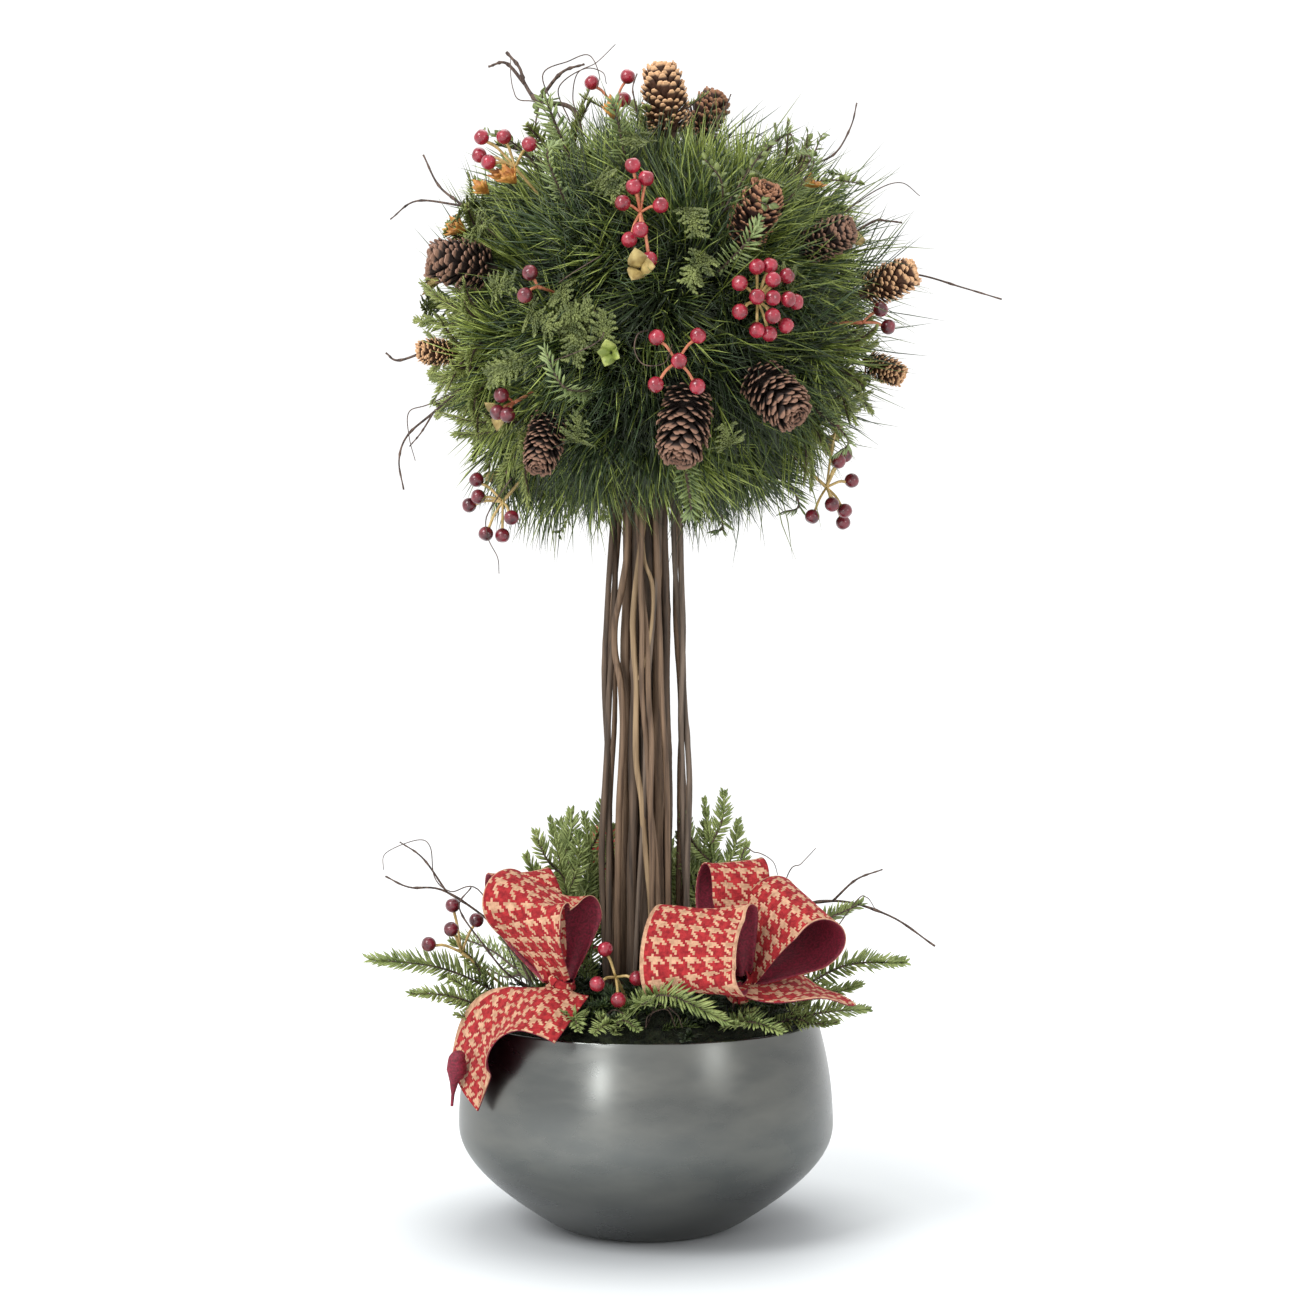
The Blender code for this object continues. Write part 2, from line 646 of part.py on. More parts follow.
# Each base spray: foot on the filling, hub, and berry ends, in millimetres from the origin.
BASE_BERRIES = {
    "base_left": ((-84, 20), (-128, -14, 192), [(-150, -24, 199), (-134, -16, 225),
                                                (-134, -30, 210), (-118, -10, 214)]),
    "base_front": ((-10, -50), (-20, -82, 184), [(-32, -100, 182), (-27, -84, 203),
                                                 (-6, -88, 184), (-18, -104, 172)]),
}


def base_berries(name, foot, hub, ends, tree, finish):
    """A spray of berries on a stalk that is pushed into the filling."""
    seat = tree.ray_cast(Vector((foot[0], foot[1], 1000)) / 1000, Vector((0, 0, -1)))[0]
    hub = Vector(hub) / 1000
    middle = (seat + hub) / 2 + Vector((0, 0, 0.008))
    stalk = tube(f"berries_{name}", smooth_path([seat + Vector((0, 0, 4 * GAP)), middle, hub], 3),
                 [0.0007] + [0.0012] * 6, THIN_SIDES, finish)
    pieces = [ball_mesh("hub", hub, HUB_RADIUS, 1, finish)]
    for end in ends:
        pieces.append(berry_stalk("berry", hub, Vector(end) / 1000, finish)[0])
    return settled(joined(stalk, pieces), tree)


BASE_TWIGS = {
    "base_left": ((-70, 26), [(-100, 18, 200), (-140, 6, 232), (-166, 0, 236), (-182, -4, 244)],
                  [(2, [(-156, 0, 256), (-172, -4, 268)])], 0.0011),
    "base_right": ((64, 54), [(96, 56, 208), (134, 42, 222), (172, 20, 214), (203, 6, 194)],
                   [(2, [(150, 34, 238), (168, 26, 246)])], 0.0013),
}


def base_twig(name, foot, run, forks, thickness, tree, finish):
    """A bare curly twig that is pushed into the filling, with its forks."""
    seat = tree.ray_cast(Vector((foot[0], foot[1], 1000)) / 1000, Vector((0, 0, -1)))[0]
    run = [Vector(p) / 1000 for p in run]
    path = smooth_path([seat + Vector((0, 0, 4 * GAP))] + run, 2)
    made = twig(f"twig_{name}", path, thickness, finish)[0]
    sides = [twig("side", smooth_path([run[start - 1]] + [Vector(p) / 1000 for p in points], 2),
                  thickness * 0.75, finish)[0] for start, points in forks]
    return settled(joined(made, sides), tree)


# ---------------------------------------------------------------------------------------------
# Bows

def ribbon(name, path, across, widths, finish):
    """A strip of ribbon: a thin flat bar along a path, its width along the given directions."""
    rings = []
    for point, tangent, side, width in zip(path, directions_along(path), across, widths):
        side = (side - tangent * side.dot(tangent)).normalized()
        face = tangent.cross(side)
        half, thick = side * width / 2, face * RIBBON_THICKNESS / 2
        rings.append([point + half + thick, point - half + thick, point - half - thick, point + half - thick])
    return lofted(name, rings, finish)


def bow_loop(knot, axis, out, reach, girth, shift, width, finish, rows=10):
    """A loop of ribbon that leaves the knot, swells round an open mouth and comes back to it.

    In the plane square to the axis the line is a drop: out by reach * sin(pi t), and to the side by
    girth / 2 * sin(2 pi t). The ribbon is gathered near the knot and at full width round the mouth.
    """
    axis = axis.normalized()
    out = (out - axis * out.dot(axis)).normalized()
    side = axis.cross(out)
    path, widths = [], []
    for i in range(rows + 1):
        t = 0.03 + 0.94 * i / rows
        swell = sin(pi * t)
        path.append(knot + out * reach * swell + side * girth / 2 * sin(2 * pi * t) * swell ** 0.4 * 1.15
                    + axis * shift * swell)
        widths.append(width * min(1.0, 0.3 + 1.1 * swell))
    return ribbon("loop", path, [axis] * len(path), widths, finish)


def ribbon_tail(back_edge, front_edge, finish):
    """A loose end of ribbon between two edges, each given by points in millimetres."""
    back = smooth_path([Vector(p) / 1000 for p in back_edge], 2)
    front = smooth_path([Vector(p) / 1000 for p in front_edge], 2)
    rings = []
    for a, b, tangent in zip(back, front, directions_along([(a + b) / 2 for a, b in zip(back, front)])):
        thick = tangent.cross(b - a).normalized() * RIBBON_THICKNESS / 2
        rings.append([b + thick, a + thick, a - thick, b - thick])
    return lofted("tail", rings, finish)


# Each bow: knot, loops as (axis, out, reach, girth, shift, width), and tails as (back edge, front
# edge); the knot and the edges in millimetres. A loop half hidden behind another is gathered narrower.
BOWS = {
    "left": ((-58, -72, 174),
             [((0.64, -0.74, -0.20), (-0.42, 0.10, 1.0), 0.074, 0.044, -0.006, RIBBON_WIDTH),
              ((0.90, 0.30, 0.10), (-0.30, 0.55, 1.0), 0.088, 0.034, -0.010, 0.042)],
             [([(-43, -85, 173), (-66, -75, 176), (-122, -36, 148), (-137, -30, 115)],
               [(-54, -126, 146), (-82, -116, 155), (-93, -97, 141), (-112, -78, 97)])]),
    "right": ((62, -74, 178),
              [((0.97, -0.22, -0.06), (0.0, -0.80, 0.60), 0.054, 0.058, -0.026, RIBBON_WIDTH),
               ((0.50, -0.62, -0.60), (0.76, 0.20, 0.66), 0.078, 0.040, 0.0, RIBBON_WIDTH),
               ((0.90, 0.40, 0.0), (-0.12, 0.40, 1.0), 0.084, 0.030, 0.0, 0.040)],
              [([(60, -66, 180), (79, -56, 181), (108, -42, 179), (127, -32, 172)],
                [(66, -94, 178), (76, -110, 173), (104, -104, 174), (124, -86, 170)])]),
    "back": ((-12, 76, 178),
             [((0.90, -0.40, 0.0), (-0.10, -0.06, 1.0), 0.096, 0.034, 0.0, 0.046),
              ((0.50, 0.80, -0.20), (-0.80, 0.30, 0.55), 0.076, 0.042, 0.0, RIBBON_WIDTH),
              ((-0.55, 0.75, -0.25), (0.80, 0.30, 0.60), 0.076, 0.042, 0.0, RIBBON_WIDTH)],
             [([(-30, 76, 172), (-10, 74, 176), (16, 76, 172)],
               [(-36, 128, 160), (-10, 130, 156), (24, 132, 148)])]),
}


def bow(name, knot, loops, tails, tree, finish):
    """A wired ribbon bow: loops and tails from one knot, on a wire pick that stands on the filling."""
    knot = Vector(knot) / 1000
    seat = tree.ray_cast(Vector((knot.x * 0.92, knot.y * 0.92, 1.0)), Vector((0, 0, -1)))[0]
    pick = [seat + Vector((0, 0, 4 * GAP)), knot]
    made = tube(f"bow_{name}", pick, PICK_RADIUS, THIN_SIDES, finish)
    pieces = [ball_mesh("knot", knot, KNOT_RADIUS, 2, finish)]
    for axis, out, reach, girth, shift, width in loops:
        pieces.append(bow_loop(knot, Vector(axis), Vector(out), reach, girth, shift, width, finish))
    for back_edge, front_edge in tails:
        pieces.append(ribbon_tail(back_edge, front_edge, finish))
    return settled(joined(made, pieces), tree)


# ---------------------------------------------------------------------------------------------

def main():
    for old in list(bpy.data.objects):
        bpy.data.objects.remove(old)

    pewter = material("pewter", (0.19, 0.20, 0.20), 0.38, 1.0)
    moss = material("moss", (0.06, 0.07, 0.03), 0.95)
    vine = material("vine_bark", (0.14, 0.09, 0.055), 0.75)
    needles = material("pine_needles", (0.06, 0.10, 0.03), 0.6)
    fir = material("fir_needles", (0.13, 0.17, 0.06), 0.6)
    scales = material("cone_scales", (0.10, 0.05, 0.03), 0.7)
    berries = material("berry_skin", (0.30, 0.02, 0.03), 0.25)
    twigs = material("twig_bark", (0.07, 0.045, 0.035), 0.8)
    cloth = material("ribbon_cloth", (0.45, 0.12, 0.09), 0.85)

    bowl(pewter)
    bed = surface_of(filling(moss))
    stem_bundle(vine)
    for number, sizes in enumerate(LOOSE_STEMS, 1):
        loose_stem(number, *sizes, vine)

    clear = KeepClear()
    clear.add([Vector((0, 0, 0.40)), Vector((0, 0, 0.53))], [WELL_RADIUS, WELL_RADIUS])
    core = core_with_well(needles)
    ball = surface_of(core)
    for number, sizes in enumerate(CONES, 1):
        cone(number, *sizes, ball, clear, scales)
    for name, (azimuth, elevation, distance, ends) in BALL_BERRIES.items():
        ball_berries(name, azimuth, elevation, distance, ends, ball, clear, berries)
    for name, (seat, run, forks, thickness) in BALL_TWIGS.items():
        ball_twig(name, seat, run, forks, thickness, ball, clear, twigs)
    pine_ball(core, clear, needles)

    for name, blades in FIR_SPRIGS.items():
        fir_sprig(name, blades, bed, fir)
    for name, (foot, hub, ends) in BASE_BERRIES.items():
        base_berries(name, foot, hub, ends, bed, berries)
    for name, (foot, run, forks, thickness) in BASE_TWIGS.items():
        base_twig(name, foot, run, forks, thickness, bed, twigs)
    for name, (knot, loops, tails) in BOWS.items():
        bow(name, knot, loops, tails, bed, cloth)


main()
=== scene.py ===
# %% [markdown]
# # Dressing a pine ball topiary
# The solids give this topiary its size: a ball on a bundle of vines, in a bowl with sprigs and bows.
# Here each solid gets what an eye looks for: needles, cone scales, glossy berries, grooved bark and
# printed ribbon. Every piece is computed from a few formulas, so it can be grown again at any size.

# %% The frame and the camera
import random
from math import cos, pi, radians, sin, sqrt

import bpy
import numpy as np
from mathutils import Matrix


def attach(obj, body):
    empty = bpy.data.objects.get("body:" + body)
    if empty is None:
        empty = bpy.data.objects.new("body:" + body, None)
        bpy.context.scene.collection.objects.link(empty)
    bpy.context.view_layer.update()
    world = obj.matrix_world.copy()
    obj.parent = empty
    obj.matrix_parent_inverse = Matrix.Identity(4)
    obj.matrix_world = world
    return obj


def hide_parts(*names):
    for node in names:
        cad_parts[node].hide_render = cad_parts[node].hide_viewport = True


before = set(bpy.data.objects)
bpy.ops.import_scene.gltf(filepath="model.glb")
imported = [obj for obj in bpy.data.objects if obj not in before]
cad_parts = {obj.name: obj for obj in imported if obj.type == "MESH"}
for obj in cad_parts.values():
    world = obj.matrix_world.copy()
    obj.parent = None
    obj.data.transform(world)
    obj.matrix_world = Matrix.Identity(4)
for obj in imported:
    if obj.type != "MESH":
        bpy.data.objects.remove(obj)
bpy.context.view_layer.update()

CAMERA_PLACE = (0.0028, -1.70, 0.401)
CAMERA_LENS_MM = 67.25

camera = bpy.data.objects.new("camera", bpy.data.cameras.new("camera"))
camera.data.lens = CAMERA_LENS_MM
camera.data.sensor_width = 36.0
camera.location = CAMERA_PLACE
camera.rotation_euler = (pi / 2, 0.0, 0.0)
bpy.context.scene.collection.objects.link(camera)
bpy.context.scene.camera = camera
bpy.context.scene.view_settings.view_transform = "Standard"
print("nodes to dress:", len(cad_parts))

# %% [markdown]
# ## Shapes as arrays
# A shape here is four arrays: points, four-sided faces, three-sided faces and a UV pair for each point.
# It could be modelled by hand with extrusions, but arrays let one formula place thousands of needles
# at once. `joined` puts many shapes into one, and `shown` makes the Blender object.

# %% Joining and showing shapes
def shape(points, quads=(), tris=(), uv=None):
    """The arrays of one shape. Points without UV pairs get (0, 0)."""
    points = np.asarray(points, np.float32).reshape(-1, 3)
    uv = np.zeros((len(points), 2)) if uv is None else uv
    return (points, np.asarray(quads, np.int32).reshape(-1, 4), np.asarray(tris, np.int32).reshape(-1, 3),
            np.asarray(uv, np.float32).reshape(-1, 2))


def joined(shapes):
    """Many shapes as one: each shape's face indices are raised by the number of points before it."""
    points, quads, tris, uvs = zip(*shapes)
    starts = np.cumsum([0] + [len(p) for p in points[:-1]])
    return (np.concatenate(points), np.concatenate([q + n for q, n in zip(quads, starts)]),
            np.concatenate([t + n for t, n in zip(tris, starts)]), np.concatenate(uvs))


def shown(name, made, finish, smooth=True, stands_for=()):
    """The Blender object of a shape, riding on the part's one body and filling a material slot."""
    points, quads, tris, uv = made
    mesh = bpy.data.meshes.new(name)
    corners = np.concatenate([quads.ravel(), tris.ravel()]).astype(np.int32)
    sizes = np.concatenate([np.full(len(quads), 4), np.full(len(tris), 3)])
    mesh.vertices.add(len(points))
    mesh.vertices.foreach_set("co", points.ravel())
    mesh.loops.add(len(corners))
    mesh.loops.foreach_set("vertex_index", corners)
    mesh.polygons.add(len(sizes))
    mesh.polygons.foreach_set("loop_start", (np.cumsum(sizes) - sizes).astype(np.int32))
    mesh.update(calc_edges=True)
    mesh.polygons.foreach_set("use_smooth", np.full(len(sizes), smooth))
    mesh.uv_layers.new(name="UVMap").data.foreach_set("uv", uv[corners].ravel())
    mesh.materials.append(finish)
    piece = bpy.data.objects.new(name, mesh)
    bpy.context.scene.collection.objects.link(piece)
    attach(piece, "root")
    if stands_for:
        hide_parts(*stands_for)
    print(f"{name}: {2 * len(quads) + len(tris)} triangles")


def nodes_of(kind):
    """The names of the solids that start with a word."""
    return sorted(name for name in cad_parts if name.startswith(kind))


print("solids:", {kind: len(nodes_of(kind)) for kind in ("cone_", "berries_", "twig_", "fir_", "bow_")})

# %% Directions and paths
def unit(vectors):
    """Vectors divided by their lengths."""
    return vectors / np.maximum(np.linalg.norm(vectors, axis=-1, keepdims=True), 1e-12)


def outward(azimuth, elevation):
    """The unit vector (sin a cos e, -cos a cos e, sin e): azimuth from the front towards +X."""
    a, e = np.radians(azimuth), np.radians(elevation)
    return np.stack([np.sin(a) * np.cos(e), -np.cos(a) * np.cos(e), np.sin(e)], axis=-1)


def metres(points, start=(0, 0, 0)):
    """Points in millimetres from a start, as places in metres."""
    return np.asarray(start) + np.asarray(points, float) / 1000


def smooth_path(points, steps):
    """Catmull-Rom: between b and c, half of 2b + (c-a)t + (2a-5b+4c-d)t^2 + (3b-a-3c+d)t^3."""
    p = np.asarray(points, float)
    p = np.vstack([2 * p[0] - p[1], p, 2 * p[-1] - p[-2]])
    a, b, c, d = (p[i:len(p) - 3 + i, None] for i in range(4))
    t = (np.arange(steps) / steps)[None, :, None]
    curve = 2 * b + (c - a) * t + (2 * a - 5 * b + 4 * c - d) * t ** 2 + (3 * b - a - 3 * c + d) * t ** 3
    return np.vstack([0.5 * curve.reshape(-1, 3), p[-2]])


def distances(path):
    """How far along the path each of its points lies."""
    return np.concatenate([[0], np.cumsum(np.linalg.norm(np.diff(path, axis=0), axis=1))])


def ripple(points, pitch, seed):
    """Smooth noise from -1 to 1: the mean of six sine waves of about one pitch, in random directions."""
    draw = np.random.default_rng(seed)
    waves = unit(draw.normal(size=(6, 3))) * (2 * pi / pitch) * draw.uniform(0.7, 1.4, (6, 1))
    return np.sin(points @ waves.T + draw.uniform(0, 2 * pi, 6)).mean(axis=-1) * 1.6


print("points on a path through 3 places, 4 steps apart:", len(smooth_path(np.eye(3), 4)))

# %% Rings, tubes and turned shapes
def circle(sides):
    """The corners (cos f, sin f) of a regular polygon."""
    f = 2 * pi * np.arange(sides) / sides
    return np.stack([np.cos(f), np.sin(f)], axis=-1)


def ring_faces(rows, sides):
    """Quads between neighbouring closed rings of points."""
    i, j = np.meshgrid(np.arange(rows - 1), np.arange(sides), indexing="ij")
    a, b = i * sides + j, i * sides + (j + 1) % sides
    return np.stack([a, b, b + sides, a + sides], axis=-1).reshape(-1, 4)


def capped(rings, foot, tip, uv=None):
    """Rings joined by quads, with a fan of triangles from a point at each end."""
    rows, sides = rings.shape[:2]
    j, k = np.arange(sides), (np.arange(sides) + 1) % sides
    top, first = (rows - 1) * sides, rows * sides
    fans = np.vstack([np.stack([0 * j + first, k, j], axis=-1),
                      np.stack([0 * j + first + 1, top + j, top + k], axis=-1)])
    return shape(np.vstack([rings.reshape(-1, 3), foot, tip]), ring_faces(rows, sides), fans, uv)


def tube(path, radii, sides=8):
    """P(i, f) = path_i + r(i, f)(side cos f + up sin f); up lies along the path's flattest direction."""
    path = np.asarray(path, float)
    flattest = np.linalg.svd(path - path.mean(axis=0))[2][2]
    tangent = unit(np.gradient(path, axis=0))
    side = unit(np.cross(tangent, flattest))
    c, s = circle(sides).T[:, None, :, None]
    reach = np.asarray(radii, float).reshape(len(path), -1, 1)
    rings = path[:, None] + reach * (side[:, None] * c + np.cross(side, tangent)[:, None] * s)
    around, along = np.meshgrid(np.arange(sides) / sides, np.linspace(0, 1, len(path)))
    uv = np.vstack([np.stack([around, along], axis=-1).reshape(-1, 2), [[0.5, 0.0], [0.5, 1.0]]])
    return capped(rings, path[0], path[-1], uv)


def turned(profile, sides):
    """A solid of revolution: the profile's ends lie on Z, and each point (r, z) between makes a ring."""
    profile = np.asarray(profile, float)
    radii, heights = profile[1:-1, 0], profile[1:-1, 1]
    flat = radii[:, None, None] * circle(sides)
    rings = np.concatenate([flat, np.broadcast_to(heights[:, None, None], flat.shape[:2] + (1,))], axis=-1)
    return capped(rings, [0, 0, profile[0, 1]], [0, 0, profile[-1, 1]])


def triangles(made):
    """All faces of a shape as triangles; a quad is cut from its first corner to its third."""
    return np.vstack([made[1][:, [0, 1, 2]], made[1][:, [0, 2, 3]], made[2]])


def inside_out(made):
    """True if the volume inside, the sum of p . (q x r) over the triangles, comes out negative."""
    p, q, r = made[0][triangles(made)].astype(float).transpose(1, 0, 2)
    return np.einsum("ij,ij->", p, np.cross(q, r)) < 0


def template(made):
    """The points and outward triangles of a small closed shape that reaches from 0 to 1 along z."""
    return made[0], triangles(made)[:, ::-1 if inside_out(made) else 1]


def spindle(corners, levels):
    """A template whose rings are the same corners, each at its own height and scale."""
    rings = [np.column_stack([corners * scale, np.full(len(corners), z)]) for z, scale in levels]
    return template(capped(np.stack(rings), (0, 0, 0), (0, 0, 1)))


def copies(points, tris, origins, side, up, ahead, sizes):
    """A template at many places: P = origin + x side sx + y up sy + z ahead sz."""
    local = points[None] * sizes[:, None, :]
    placed = (origins[:, None] + local[..., :1] * side[:, None] + local[..., 1:2] * up[:, None]
              + local[..., 2:] * ahead[:, None])
    faces = tris[None] + (np.arange(len(origins)) * len(points))[:, None, None]
    return shape(placed, tris=faces)


print("triangles of a tube of 3 rings and 8 sides:", len(triangles(tube(np.eye(3), np.ones(3)))))

# %% [markdown]
# ## Finishes
# Nothing on a real topiary is one flat colour. One shader group, `mottle`, drifts between two tones by
# a noise in object space, and every finish uses it with its own tones and grain. A picture of the
# surface would do as well, but noise has no seams and stays sharp close up.

# %% Building shader nodes
def feed(tree, made, inputs):
    """Each input of a node gets its constant, or a link from the socket that feeds it."""
    for name, value in inputs.items():
        if isinstance(value, bpy.types.NodeSocket):
            tree.links.new(value, made.inputs[name])
        else:
            made.inputs[name].default_value = value


def node(tree, kind, inputs, **settings):
    """The output sockets of a new shader node with these settings and inputs."""
    made = tree.nodes.new("ShaderNode" + kind)
    for name, value in settings.items():
        setattr(made, name, value)
    feed(tree, made, inputs)
    return made.outputs


def maths(tree, operation, *values):
    """The result of a Math node."""
    return node(tree, "Math", dict(enumerate(values)), operation=operation)["Value"]


def map_range(tree, value, start, end, to_start=0.0, to_end=1.0, **settings):
    """The value carried from start..end over to to_start..to_end, and held there beyond both ends."""
    inputs = {"Value": value, "From Min": start, "From Max": end, "To Min": to_start, "To Max": to_end}
    return node(tree, "MapRange", inputs, **settings)["Result"]


def relief(tree, height, strength, depth):
    """A normal that is dented by a height."""
    return node(tree, "Bump", {"Strength": strength, "Distance": depth, "Height": height})["Normal"]


def mixed_colour(tree, share, first, second, kind="MIX"):
    """The result of a Mix node for colours: first at share 0, second at share 1."""
    return node(tree, "Mix", {0: share, 6: first, 7: second}, data_type="RGBA", blend_type=kind)[2]


def place_parts(tree):
    """The sockets X, Y and Z of the place in object space."""
    return node(tree, "SeparateXYZ", {"Vector": node(tree, "TexCoord", {})["Object"]})


def uv_parts(tree):
    """The sockets X and Y of the piece's own UV map."""
    return node(tree, "SeparateXYZ", {"Vector": node(tree, "UVMap", {}, uv_map="UVMap")["UV"]})


def node_group(name, inputs, outputs):
    """An empty shader group; returns its tree, the sockets of its inputs and the node of its outputs."""
    tree = bpy.data.node_groups.new(name, "ShaderNodeTree")
    for way, sockets in (("INPUT", inputs), ("OUTPUT", outputs)):
        for socket, kind in sockets.items():
            tree.interface.new_socket(socket, in_out=way, socket_type="NodeSocket" + kind)
    return tree, tree.nodes.new("NodeGroupInput").outputs, tree.nodes.new("NodeGroupOutput")


print("node groups so far:", len(bpy.data.node_groups))

# %% The mottle group and the finish maker
def mottle_group():
    """Colour = mix(dark, light, f) and Value = f, where f is a noise with its contrast stretched."""
    tree, given, result = node_group(
        "mottle", {"Dark": "Color", "Light": "Color", "Scale": "Vector", "Low": "Float", "High": "Float"},
        {"Colour": "Color", "Value": "Float"})
    place = node(tree, "TexCoord", {})["Object"]
    grain = node(tree, "VectorMath", {0: place, 1: given["Scale"]}, operation="MULTIPLY")["Vector"]
    noise = node(tree, "TexNoise", {"Vector": grain, "Scale": 1.0, "Detail": 4.0})["Fac"]
    value = map_range(tree, noise, given["Low"], given["High"])
    feed(tree, result, {"Colour": mixed_colour(tree, value, given["Dark"], given["Light"]), "Value": value})
    return tree


MOTTLE = mottle_group()


def mottle(tree, dark, light, scale, low=0.35, high=0.65):
    """The sockets Colour and Value of one use of the mottle group."""
    scale = scale if isinstance(scale, tuple) else (scale,) * 3
    return node(tree, "Group", {"Dark": (*dark, 1.0), "Light": (*light, 1.0), "Scale": scale, "Low": low,
                                "High": high}, node_tree=MOTTLE)


def mottled(name, dark, light, scale, roughness, low=0.35, high=0.65, metallic=0.0, bump=0.0, depth=0.001,
            coat=0.0, rough_span=0.0, specular=0.5):
    """A finish whose colour drifts from dark to light; it can also roughen and dent with the same noise."""
    made = bpy.data.materials.new(name)
    made.use_nodes = True
    made.diffuse_color = (*light, 1.0)
    tree = made.node_tree
    tone = mottle(tree, dark, light, scale, low, high)
    wanted = {"Base Color": tone["Colour"], "Roughness": roughness, "Metallic": metallic, "Coat Weight": coat,
              "Coat Roughness": 0.12, "Specular IOR Level": specular}
    if rough_span:
        wanted["Roughness"] = map_range(tree, tone["Value"], 0.0, 1.0, roughness - rough_span / 2,
                                        roughness + rough_span / 2)
    if bump:
        wanted["Normal"] = relief(tree, tone["Value"], bump, depth)
    feed(tree, tree.nodes["Principled BSDF"], wanted)
    return made


def base_of(made):
    """A finish's node tree, its shader and the socket that its base colour comes from."""
    tree = made.node_tree
    shader = tree.nodes["Principled BSDF"]
    return tree, shader, shader.inputs["Base Color"].links[0].from_socket


print("nodes in the mottle group:", len(MOTTLE.nodes))

# %% [markdown]
# ## The bowl
# The real bowl is spun from sheet metal: a small flat foot, a full belly and a slightly drawn-in rim.
# It could be a scaled sphere, but a turned profile gives the belly its true height and the rim its
# rolled edge. The metal is dull pewter, with painted shade at the foot where it mirrors the shadowed
# floor, and soft upright bands of painted light and shade across the front.

# %% Bowl
POT_FOOT, POT_BELLY, POT_RIM = 0.0610, 0.1306, 0.1195
BELLY_HEIGHT, POT_HEIGHT, POT_WALL = 0.072, 0.1445, 0.003
RIM_ROLL, FOOT_ROUNDING, FOOT_ROUNDING_HEIGHT = 0.0013, 0.005, 0.0025
POT_TURNS, OUTER_ROWS, RIM_ROWS, INNER_ROWS = 160, 70, 12, 30
# painted shade at the foot, where the metal mirrors the shadowed floor, and painted light and shade in
# upright bands across the front
FOOT_SHADE, FOOT_SHADE_HEIGHTS = (0.80, 0.80, 0.816, 1.0), (0.006, 0.058)
BAND_SHADE, BAND_RADIANS_PER_METRE, BAND_PHASE = 0.70, 29.0, 2.8
WHITE = (1.0, 1.0, 1.0, 1.0)


def bowl_radius(z):
    """A quarter sine from foot to belly, then a parabola drawn in to the rim."""
    low = POT_FOOT + (POT_BELLY - POT_FOOT) * np.sin(pi / 2 * np.clip(z / BELLY_HEIGHT, 0, 1))
    high = POT_BELLY - (POT_BELLY - POT_RIM) * ((z - BELLY_HEIGHT) / (POT_HEIGHT - BELLY_HEIGHT)) ** 2
    return np.where(z < BELLY_HEIGHT, low, high)


def bowl_profile():
    """From axis to axis: underside, outer face with a rounded foot, half-round rim, inner face and floor."""
    z = (POT_HEIGHT - RIM_ROLL) * np.linspace(0, 1, OUTER_ROWS) ** 1.5
    outside = np.stack([bowl_radius(z) - FOOT_ROUNDING * np.exp(-z / FOOT_ROUNDING_HEIGHT), z], axis=-1)
    turn = np.linspace(0, pi, RIM_ROWS)[1:-1]
    rim = np.stack([bowl_radius(z[-1]) - RIM_ROLL + RIM_ROLL * np.cos(turn),
                    z[-1] + RIM_ROLL * np.sin(turn)], axis=-1)
    down = np.linspace(z[-1], POT_WALL, INNER_ROWS)
    inside = np.stack([bowl_radius(down - POT_WALL * 0.6) - POT_WALL, down], axis=-1)
    return np.vstack([[0, 0], outside, rim, inside, [0, POT_WALL]])


def painted_foot_shade_and_light_bands(made):
    """Painted shade times a grey fading to white up the foot, and painted light and shade times low + (1 -
    low)(1 + sin(k x + phase))/2.
    """
    tree, shader, colour = base_of(made)
    place = place_parts(tree)
    fade = map_range(tree, place["Z"], *FOOT_SHADE_HEIGHTS, interpolation_type="SMOOTHSTEP")
    darker = mixed_colour(tree, 1.0, colour, mixed_colour(tree, fade, FOOT_SHADE, WHITE), "MULTIPLY")
    wave = maths(tree, "SINE", maths(tree, "MULTIPLY_ADD", place["X"], BAND_RADIANS_PER_METRE, BAND_PHASE))
    bands = map_range(tree, wave, -1.0, 1.0, BAND_SHADE)
    feed(tree, shader, {"Base Color": mixed_colour(tree, 1.0, darker, bands, "MULTIPLY")})


pewter = mottled("pewter", (0.138, 0.145, 0.141), (0.198, 0.201, 0.187), (13.0, 13.0, 36.0), 0.30,
                 metallic=1.0, rough_span=0.12)
# the pewter gets a painted shade at the foot and painted light and shade in bands
painted_foot_shade_and_light_bands(pewter)
shown("bowl", turned(bowl_profile(), POT_TURNS), pewter, stands_for=["pot"])

# %% [markdown]
# ## The moss bed
# The bowl is filled with foam and covered with moss and clippings; the moss is dark green, made near black
# as painted shade under the ball. A plain dome would look like plastic, so the dome is pushed up and down
# by noise and short strands are set all over it.

# %% Moss bed
EDGE_HEIGHT, CROWN_HEIGHT, CROWN_RADIUS = 0.132, 0.162, 0.042
BED_EDGE = float(bowl_radius(EDGE_HEIGHT)) - POT_WALL
BED_ROWS, BED_TURNS, BED_CLEARANCE = 40, 144, 0.0008
PLUG_RADIUS, PLUG_FOOT, PLUG_TOP = 0.095, 0.060, 0.110


def bed_height(r):
    """The dome: a quarter sine from the edge to the flat crown."""
    share = np.clip((BED_EDGE - r) / (BED_EDGE - CROWN_RADIUS), 0, 1)
    return EDGE_HEIGHT + (CROWN_HEIGHT - EDGE_HEIGHT) * np.sin(pi / 2 * share)


